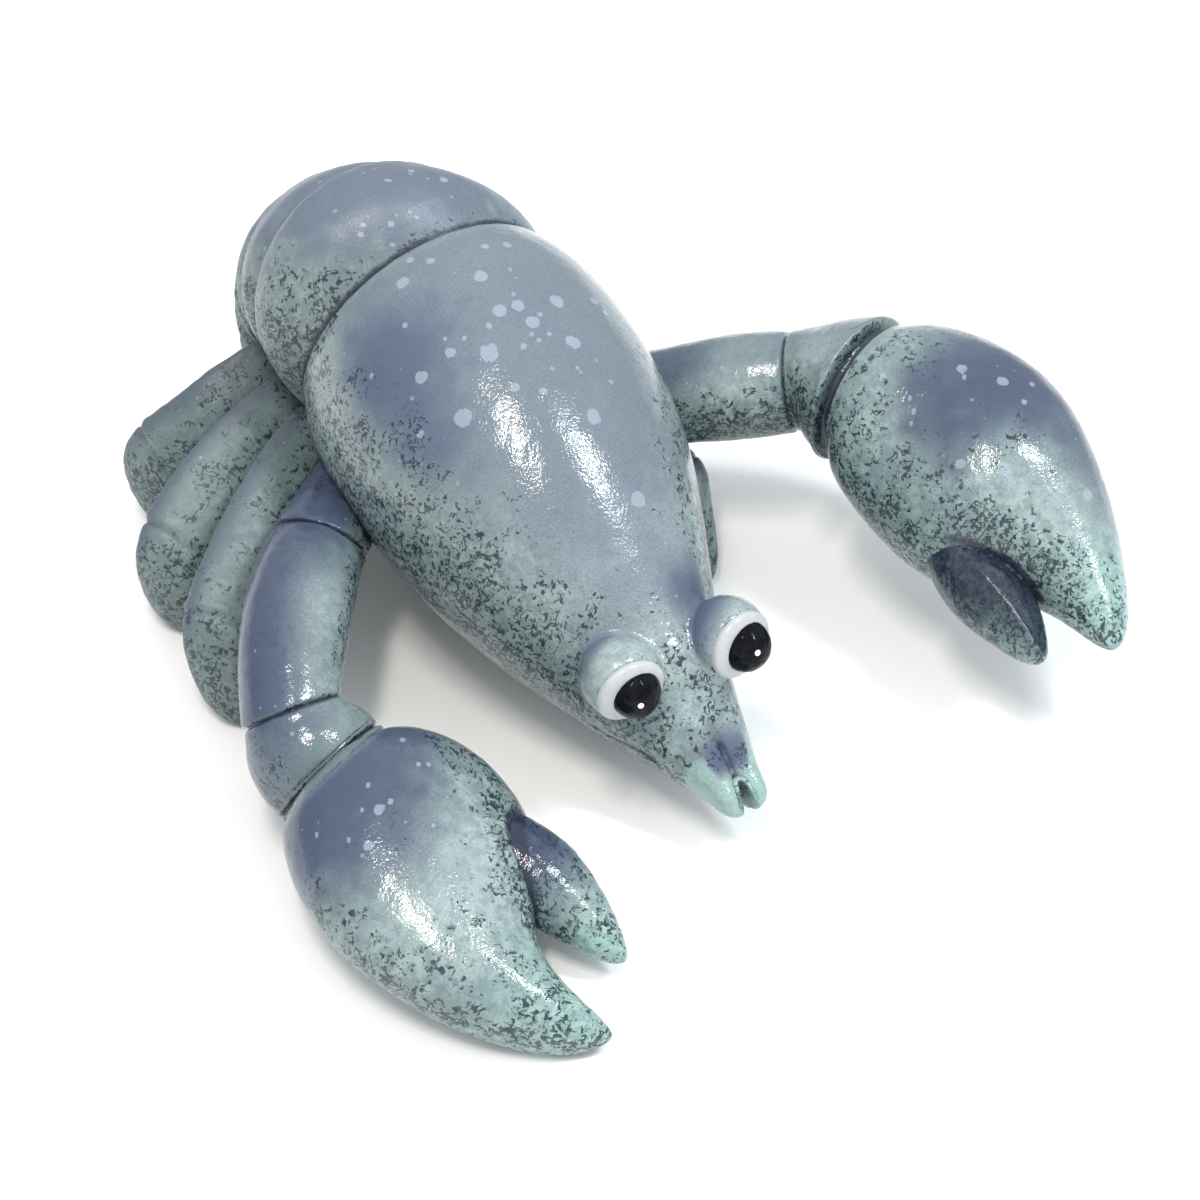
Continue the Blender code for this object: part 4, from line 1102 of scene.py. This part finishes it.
class Graph:
    """Short ways to add and link shader nodes in one tree."""

    def __init__(self, tree):
        self.tree = tree

    def node(self, kind, **settings):
        made = self.tree.nodes.new("ShaderNode" + kind)
        for key, value in settings.items():
            setattr(made, key, value)
        return made

    def feed(self, socket, value):
        if isinstance(value, bpy.types.NodeSocket):
            self.tree.links.new(value, socket)
        else:
            socket.default_value = value

    def feed_all(self, made, **values):
        """Feeds the inputs whose names, in lower case, are given."""
        for name, value in values.items():
            self.feed(made.inputs[name.replace("_", " ").title()], value)

    def math(self, operation, *values, clamp=False):
        made = self.node("Math", operation=operation, use_clamp=clamp)
        for socket, value in zip(made.inputs, values):
            self.feed(socket, value)
        return made.outputs[0]

    def plus(self, first, second, **how):
        return self.math("ADD", first, second, **how)

    def minus(self, first, second):
        return self.math("SUBTRACT", first, second)

    def times(self, first, second, **how):
        return self.math("MULTIPLY", first, second, **how)

    def step(self, value, low, high, start=0.0, end=1.0):
        made = self.node("MapRange", interpolation_type="SMOOTHSTEP")
        self.feed_all(made, value=value, from_min=low, from_max=high, to_min=start, to_max=end)
        return made.outputs["Result"]

    def noise(self, vector, size, detail=2.0, roughness=0.5, distortion=0.0):
        """Noise with waves of about that many millimetres."""
        made = self.node("TexNoise")
        self.feed_all(made, vector=vector, scale=1000.0 / size, detail=detail, roughness=roughness,
                      distortion=distortion)
        return made.outputs["Fac"]

    def offset(self, vector, *amount):
        made = self.node("VectorMath", operation="ADD")
        self.feed(made.inputs[0], vector)
        self.feed(made.inputs[1], amount)
        return made.outputs[0]

    def mix(self, factor, first, second):
        """Blend of two colours, each a socket or its red, green and blue."""
        made = self.node("Mix", data_type="RGBA")
        self.feed(made.inputs["Factor"], factor)
        for name, value in (("A", first), ("B", second)):
            socket = next(s for s in made.inputs if s.name == name and s.type == "RGBA")
            self.feed(socket, (*value, 1.0) if isinstance(value, tuple) else value)
        return next(s for s in made.outputs if s.type == "RGBA")

    def layer(self, name):
        return self.node("Attribute", attribute_name=name).outputs["Fac"]

    def effect(self, name, **values):
        """Outputs of a shared node group that is fed these values."""
        made = self.node("Group", node_tree=GROUPS[name])
        self.feed_all(made, **values)
        return made.outputs

    def bump(self, shader, height, strength, distance):
        made = self.node("Bump")
        self.feed_all(made, height=height, strength=strength, distance=distance)
        self.feed(shader.inputs["Normal"], made.outputs["Normal"])


def new_group(name, inputs, outputs):
    """Empty shader node group: its graph, the node that ends it, and the sockets of its inputs."""
    tree = GROUPS[name] = bpy.data.node_groups.new(name, "ShaderNodeTree")
    for label in inputs:
        kind = "NodeSocketVector" if label == "Vector" else "NodeSocketFloat"
        tree.interface.new_socket(name=label, in_out="INPUT", socket_type=kind)
    for label in outputs:
        tree.interface.new_socket(name=label, in_out="OUTPUT", socket_type="NodeSocketFloat")
    source = tree.nodes.new("NodeGroupInput")
    return Graph(tree), tree.nodes.new("NodeGroupOutput"), *(source.outputs[label] for label in inputs)


def make_speckle():
    """Sponged dark speckle: curls and blots with a soft halo, crowded into clusters."""
    g, result, vector, density = new_group("dark_speckle", ("Vector", "Density"), ("Mask", "Halo"))
    cluster = g.noise(g.offset(vector, 0.3, 0.1, 0.7), 6.5, 2.5, 0.6)
    crowd = g.plus(g.minus(density, 0.06), g.times(g.minus(cluster, 0.5), 2.7))
    crowd = g.times(crowd, g.step(density, 0.02, 0.3), clamp=True)
    blot = g.minus(g.noise(vector, 1.7, 2.5, 0.6, 1.3), g.step(crowd, 0.0, 1.0, 0.69, 0.55))
    core = g.step(blot, 0.0, 0.022)
    halo = g.step(blot, -0.07, 0.0)
    curl = g.minus(g.noise(g.offset(vector, 0.9, 2.4, 1.1), 2.2, 1.5, 0.6, 0.8), 0.5)
    gate = g.noise(g.offset(vector, 1.7, 0.4, 0.2), 1.3, 1.0)
    broken = g.step(g.plus(gate, g.times(crowd, 0.16)), 0.6, 0.65)
    line = g.times(g.step(g.math("ABSOLUTE", curl), 0.07, 0.045), broken)
    present = g.step(crowd, 0.05, 0.3)
    strength = g.step(g.noise(g.offset(vector, 2.9, 1.3, 0.6), 2.2, 1.0), 0.3, 0.6, 0.78, 1.0)
    marks = g.times(g.math("MAXIMUM", line, core), strength)
    g.feed_all(result, mask=g.times(marks, present), halo=g.times(halo, present))


def make_spatter():
    """Fine flicked spatter of round dots with their own sizes."""
    g, result, vector, density = new_group("pale_spatter", ("Vector", "Density"), ("Mask",))
    cells = g.node("TexVoronoi", feature="F1")
    g.feed_all(cells, vector=vector, scale=1000.0 / 2.6)
    parts = g.node("SeparateColor")
    g.feed(parts.inputs[0], cells.outputs["Color"])
    size = g.times(g.math("POWER", parts.outputs[0], 4.0), 0.2)
    kept = g.math("LESS_THAN", parts.outputs[1], g.times(density, 0.85))
    g.feed_all(result, mask=g.times(g.step(g.minus(cells.outputs["Distance"], size), 0.05, 0.0), kept))


def make_mottle():
    """Cloudy and sponged variation of the ground colour, from 0 to 1."""
    g, result, vector = new_group("glaze_mottle", ("Vector",), ("Cloud", "Sponge", "Grain"))
    cloud = g.noise(vector, 14.0, 2.0)
    sponge = g.noise(g.offset(vector, 0.5, 1.5, 0.9), 2.3, 4.0, 0.68, 0.4)
    grain = g.noise(g.offset(vector, 2.5, 0.5, 1.9), 0.45, 2.0, 0.7)
    g.feed_all(result, cloud=g.step(cloud, 0.3, 0.7), sponge=g.step(sponge, 0.38, 0.66), grain=grain)


def make_peel():
    """Orange peel of the lacquer."""
    g, result, vector = new_group("lacquer_peel", ("Vector",), ("Height",))
    fine = g.noise(vector, 0.65, 1.5, 0.6)
    broad = g.noise(g.offset(vector, 0.2, 0.8, 1.2), 1.3, 1.0)
    g.feed_all(result, height=g.plus(g.times(fine, 0.75), g.times(broad, 0.25)))


def new_material(name):
    """New material, its graph, its shader and the object's coordinates."""
    material = bpy.data.materials.new(name)
    material.use_nodes = True
    g = Graph(material.node_tree)
    return material, g, material.node_tree.nodes["Principled BSDF"], g.node("TexCoord").outputs["Object"]


def painted(name, ground, moss, blue, mint, roughness, pallor):
    """Airbrushed, speckled and lacquered finish, with painted shade in creases and on low parts and
    painted highlight in pale spots.
    """
    material, g, shader, vector = new_material(name)
    mottle = g.effect("glaze_mottle", vector=vector)
    airbrush, tips, density = g.layer("blue"), g.layer("mint"), g.layer("speck")
    sponge = g.minus(mottle["Sponge"], 0.5)
    # Ground, pale sponging with painted highlight in places, mint, and painted shade on the low, densely
    # speckled parts.
    colour = g.mix(mottle["Cloud"], ground, moss)
    lifted = g.plus(g.layer("pale"), g.times(sponge, g.step(airbrush, 0.0, 0.8, 0.8, 0.25)), clamp=True)
    colour = g.mix(g.plus(g.times(lifted, pallor), 0.08), colour, PALE_SPONGE_AND_HIGHLIGHT)
    colour = g.mix(g.plus(tips, g.times(g.times(sponge, tips), 0.6), clamp=True), colour, mint)
    low = g.times(g.step(g.minus(density, g.times(sponge, 1.2)), 0.3, 1.2), 0.24)
    colour = g.mix(low, colour, PAINTED_SHADE_AND_GRAIN)
    # Airbrushed blue with a grainy edge, and the grain over all.
    soft = g.plus(airbrush, g.times(g.minus(mottle["Grain"], 0.5), 0.4))
    soft = g.plus(soft, g.times(sponge, 0.07))
    colour = g.mix(g.step(soft, 0.0, 1.0), colour, blue)
    colour = g.mix(g.times(g.step(mottle["Grain"], 0.38, 0.68), 0.2), colour, PAINTED_SHADE_AND_GRAIN)
    # Pale spatter and drops, dark speckle, and the dark wash in creases, which is also painted shade in
    # crevices and gapes.
    dots = g.effect("pale_spatter", vector=vector, density=g.times(g.step(airbrush, 0.1, 0.5), 0.7))
    colour = g.mix(g.times(dots["Mask"], 0.4), colour, DROP_BLUE)
    colour = g.mix(g.times(g.step(g.layer("drop"), 0.16, -0.16), 0.55), colour, DROP_BLUE)
    marks = g.effect("dark_speckle", vector=vector, density=density)
    ink = g.mix(g.step(airbrush, 0.2, 0.7), SPECKLE_TEAL, SPECKLE_INDIGO)
    colour = g.mix(g.times(marks["Halo"], 0.28), colour, ink)
    colour = g.mix(g.times(marks["Mask"], 0.95), colour, ink)
    crease_darkening = g.plus(g.layer("wash_and_shade"), g.times(sponge, 0.3))
    colour = g.mix(g.times(g.step(crease_darkening, 0.12, 0.95), 0.9), colour, CREASE_INDIGO)
    dull = g.times(g.minus(mottle["Cloud"], 0.5), 0.08)
    g.feed_all(shader, base_color=colour, roughness=g.plus(dull, roughness))
    g.bump(shader, g.effect("lacquer_peel", vector=vector)["Height"], 1.0, 0.0001)
    return material


def white_enamel():
    material, g, shader, vector = new_material("white_enamel")
    mottle = g.effect("glaze_mottle", vector=vector)
    colour = g.mix(g.times(mottle["Sponge"], 0.5), ENAMEL, ENAMEL_SHADE)
    g.feed_all(shader, base_color=colour, roughness=g.plus(g.times(mottle["Cloud"], 0.06), 0.2))
    g.bump(shader, g.effect("lacquer_peel", vector=vector)["Height"], 0.35, 0.00006)
    return material


def wet_black():
    material, g, shader, vector = new_material("wet_black")
    mottle = g.effect("glaze_mottle", vector=vector)
    colour = g.mix(mottle["Sponge"], PUPIL_BLACK, PUPIL_SHEEN)
    colour = g.mix(g.step(g.layer("glint"), 0.06, -0.06), colour, GLINT_WHITE)
    g.feed_all(shader, base_color=colour, roughness=g.plus(g.times(mottle["Cloud"], 0.03), 0.035))
    shader.inputs["Specular IOR Level"].default_value = 0.08
    g.bump(shader, g.noise(vector, 3.5, 1.0), 0.2, 0.00008)
    return material


def finish_piece(piece, material, slot, *nodes):
    piece.data.materials.clear()
    piece.data.materials.append(material)
    select_only(piece)
    bpy.ops.object.shade_smooth()
    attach(piece, "root")
    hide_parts(*nodes)


def build_figurine():
    for make in (make_speckle, make_spatter, make_mottle, make_peel):
        make()
    paints = (painted(name, *look) for name, look in PAINTS.items())
    shell_paint, tail_paint, limb_paint, claw_paint = paints
    shell = build_shell()
    paint_shell(shell)
    finish_piece(shell, shell_paint, "shell", "carapace", "eye_lid_left", "eye_lid_right")
    white_paint, black_paint = white_enamel(), wet_black()
    for sign, side in SIDES.items():
        white, pupil = build_eye(sign)
        *spot, size = GLINTS[side]
        away = distance_to(read_points(pupil), spot)
        write_layer(pupil, "glint", np.minimum(away - size, FIELD_LIMIT))
        finish_piece(white, white_paint, "eye_white", "eyeball_" + side)
        finish_piece(pupil, black_paint, "pupil_black", "pupil_" + side)
    for k in range(6):
        node = "abdomen_ring_" + str(k + 1)
        ring = build_tail_ring(k)
        paint_tail_ring(ring, (node,))
        finish_piece(ring, tail_paint, "shell", node)
    for name, *form in LOBES:
        lobe = build_lobe(name, *form)
        paint_limb(lobe, (name,))
        finish_piece(lobe, limb_paint, "limb", name)
    breast = build_breast()
    paint_limb(breast, ("sternum",))
    finish_piece(breast, limb_paint, "limb", "sternum")
    for label in LEGS:
        leg = build_leg(label)
        nodes = ("leg_" + label, "foot_" + label)
        paint_limb(leg, nodes, [row[0] for row in LEGS[label][:5]])
        finish_piece(leg, limb_paint, "limb", *nodes)
    for side in SIDES.values():
        arm = build_arm(side)
        nodes = tuple(name + side for name in ("shoulder_", "upper_arm_", "wrist_", "claw_"))
        paint_arm(arm, side, nodes)
        finish_piece(arm, claw_paint, "shell", *nodes)
        finger = build_finger(side)
        paint_finger(finger, side, ("claw_finger_" + side,))
        finish_piece(finger, claw_paint, "tip", "claw_finger_" + side)


def build_studio():
    """Pale table, white surround, a warm and a cool soft light, and the camera."""
    select_only()
    bpy.ops.mesh.primitive_plane_add(size=6.0)
    table = bpy.context.object
    table.name = "table_top"
    material, g, shader, vector = new_material("pale_table")
    cloud = g.step(g.noise(vector, 30.0, 3.0), 0.3, 0.7)
    g.feed_all(shader, base_color=g.mix(cloud, TABLE_WHITE, TABLE_CLOUD), roughness=0.7)
    table.data.materials.append(material)
    world = bpy.data.worlds.new("studio")
    bpy.context.scene.world = world
    world.use_nodes = True
    g = Graph(world.node_tree)
    parts = g.node("SeparateXYZ")
    g.feed(parts.inputs[0], g.node("TexCoord").outputs["Generated"])
    g.feed_all(world.node_tree.nodes["Background"], color=SKY_WHITE,
               strength=g.step(parts.outputs["Z"], -0.1, 0.9, 0.6, 1.15))
    for light in LIGHTS:
        add_light(*light)
    lens = bpy.data.cameras.new("camera")
    lens.sensor_width = 36.0
    lens.sensor_fit = "HORIZONTAL"
    lens.angle = math.radians(CAMERA_ANGLE)
    camera = bpy.data.objects.new("camera", lens)
    bpy.context.scene.collection.objects.link(camera)
    back = Vector(CAMERA_WAY).normalized()
    camera.location = placed(CAMERA_TARGET) + back * CAMERA_DISTANCE
    camera.rotation_euler = back.to_track_quat("Z", "Y").to_euler()
    bpy.context.scene.camera = camera
    bpy.context.scene.view_settings.view_transform = "Standard"


def add_light(name, way, distance, width, height, power, colour):
    lamp = bpy.data.lights.new(name, "AREA")
    lamp.shape = "RECTANGLE"
    lamp.size, lamp.size_y = width, height
    lamp.energy = power
    lamp.color = colour
    holder = bpy.data.objects.new(name, lamp)
    bpy.context.scene.collection.objects.link(holder)
    way = Vector(way).normalized()
    holder.location = way * distance
    holder.rotation_euler = way.to_track_quat("Z", "Y").to_euler()


build_figurine()
build_studio()
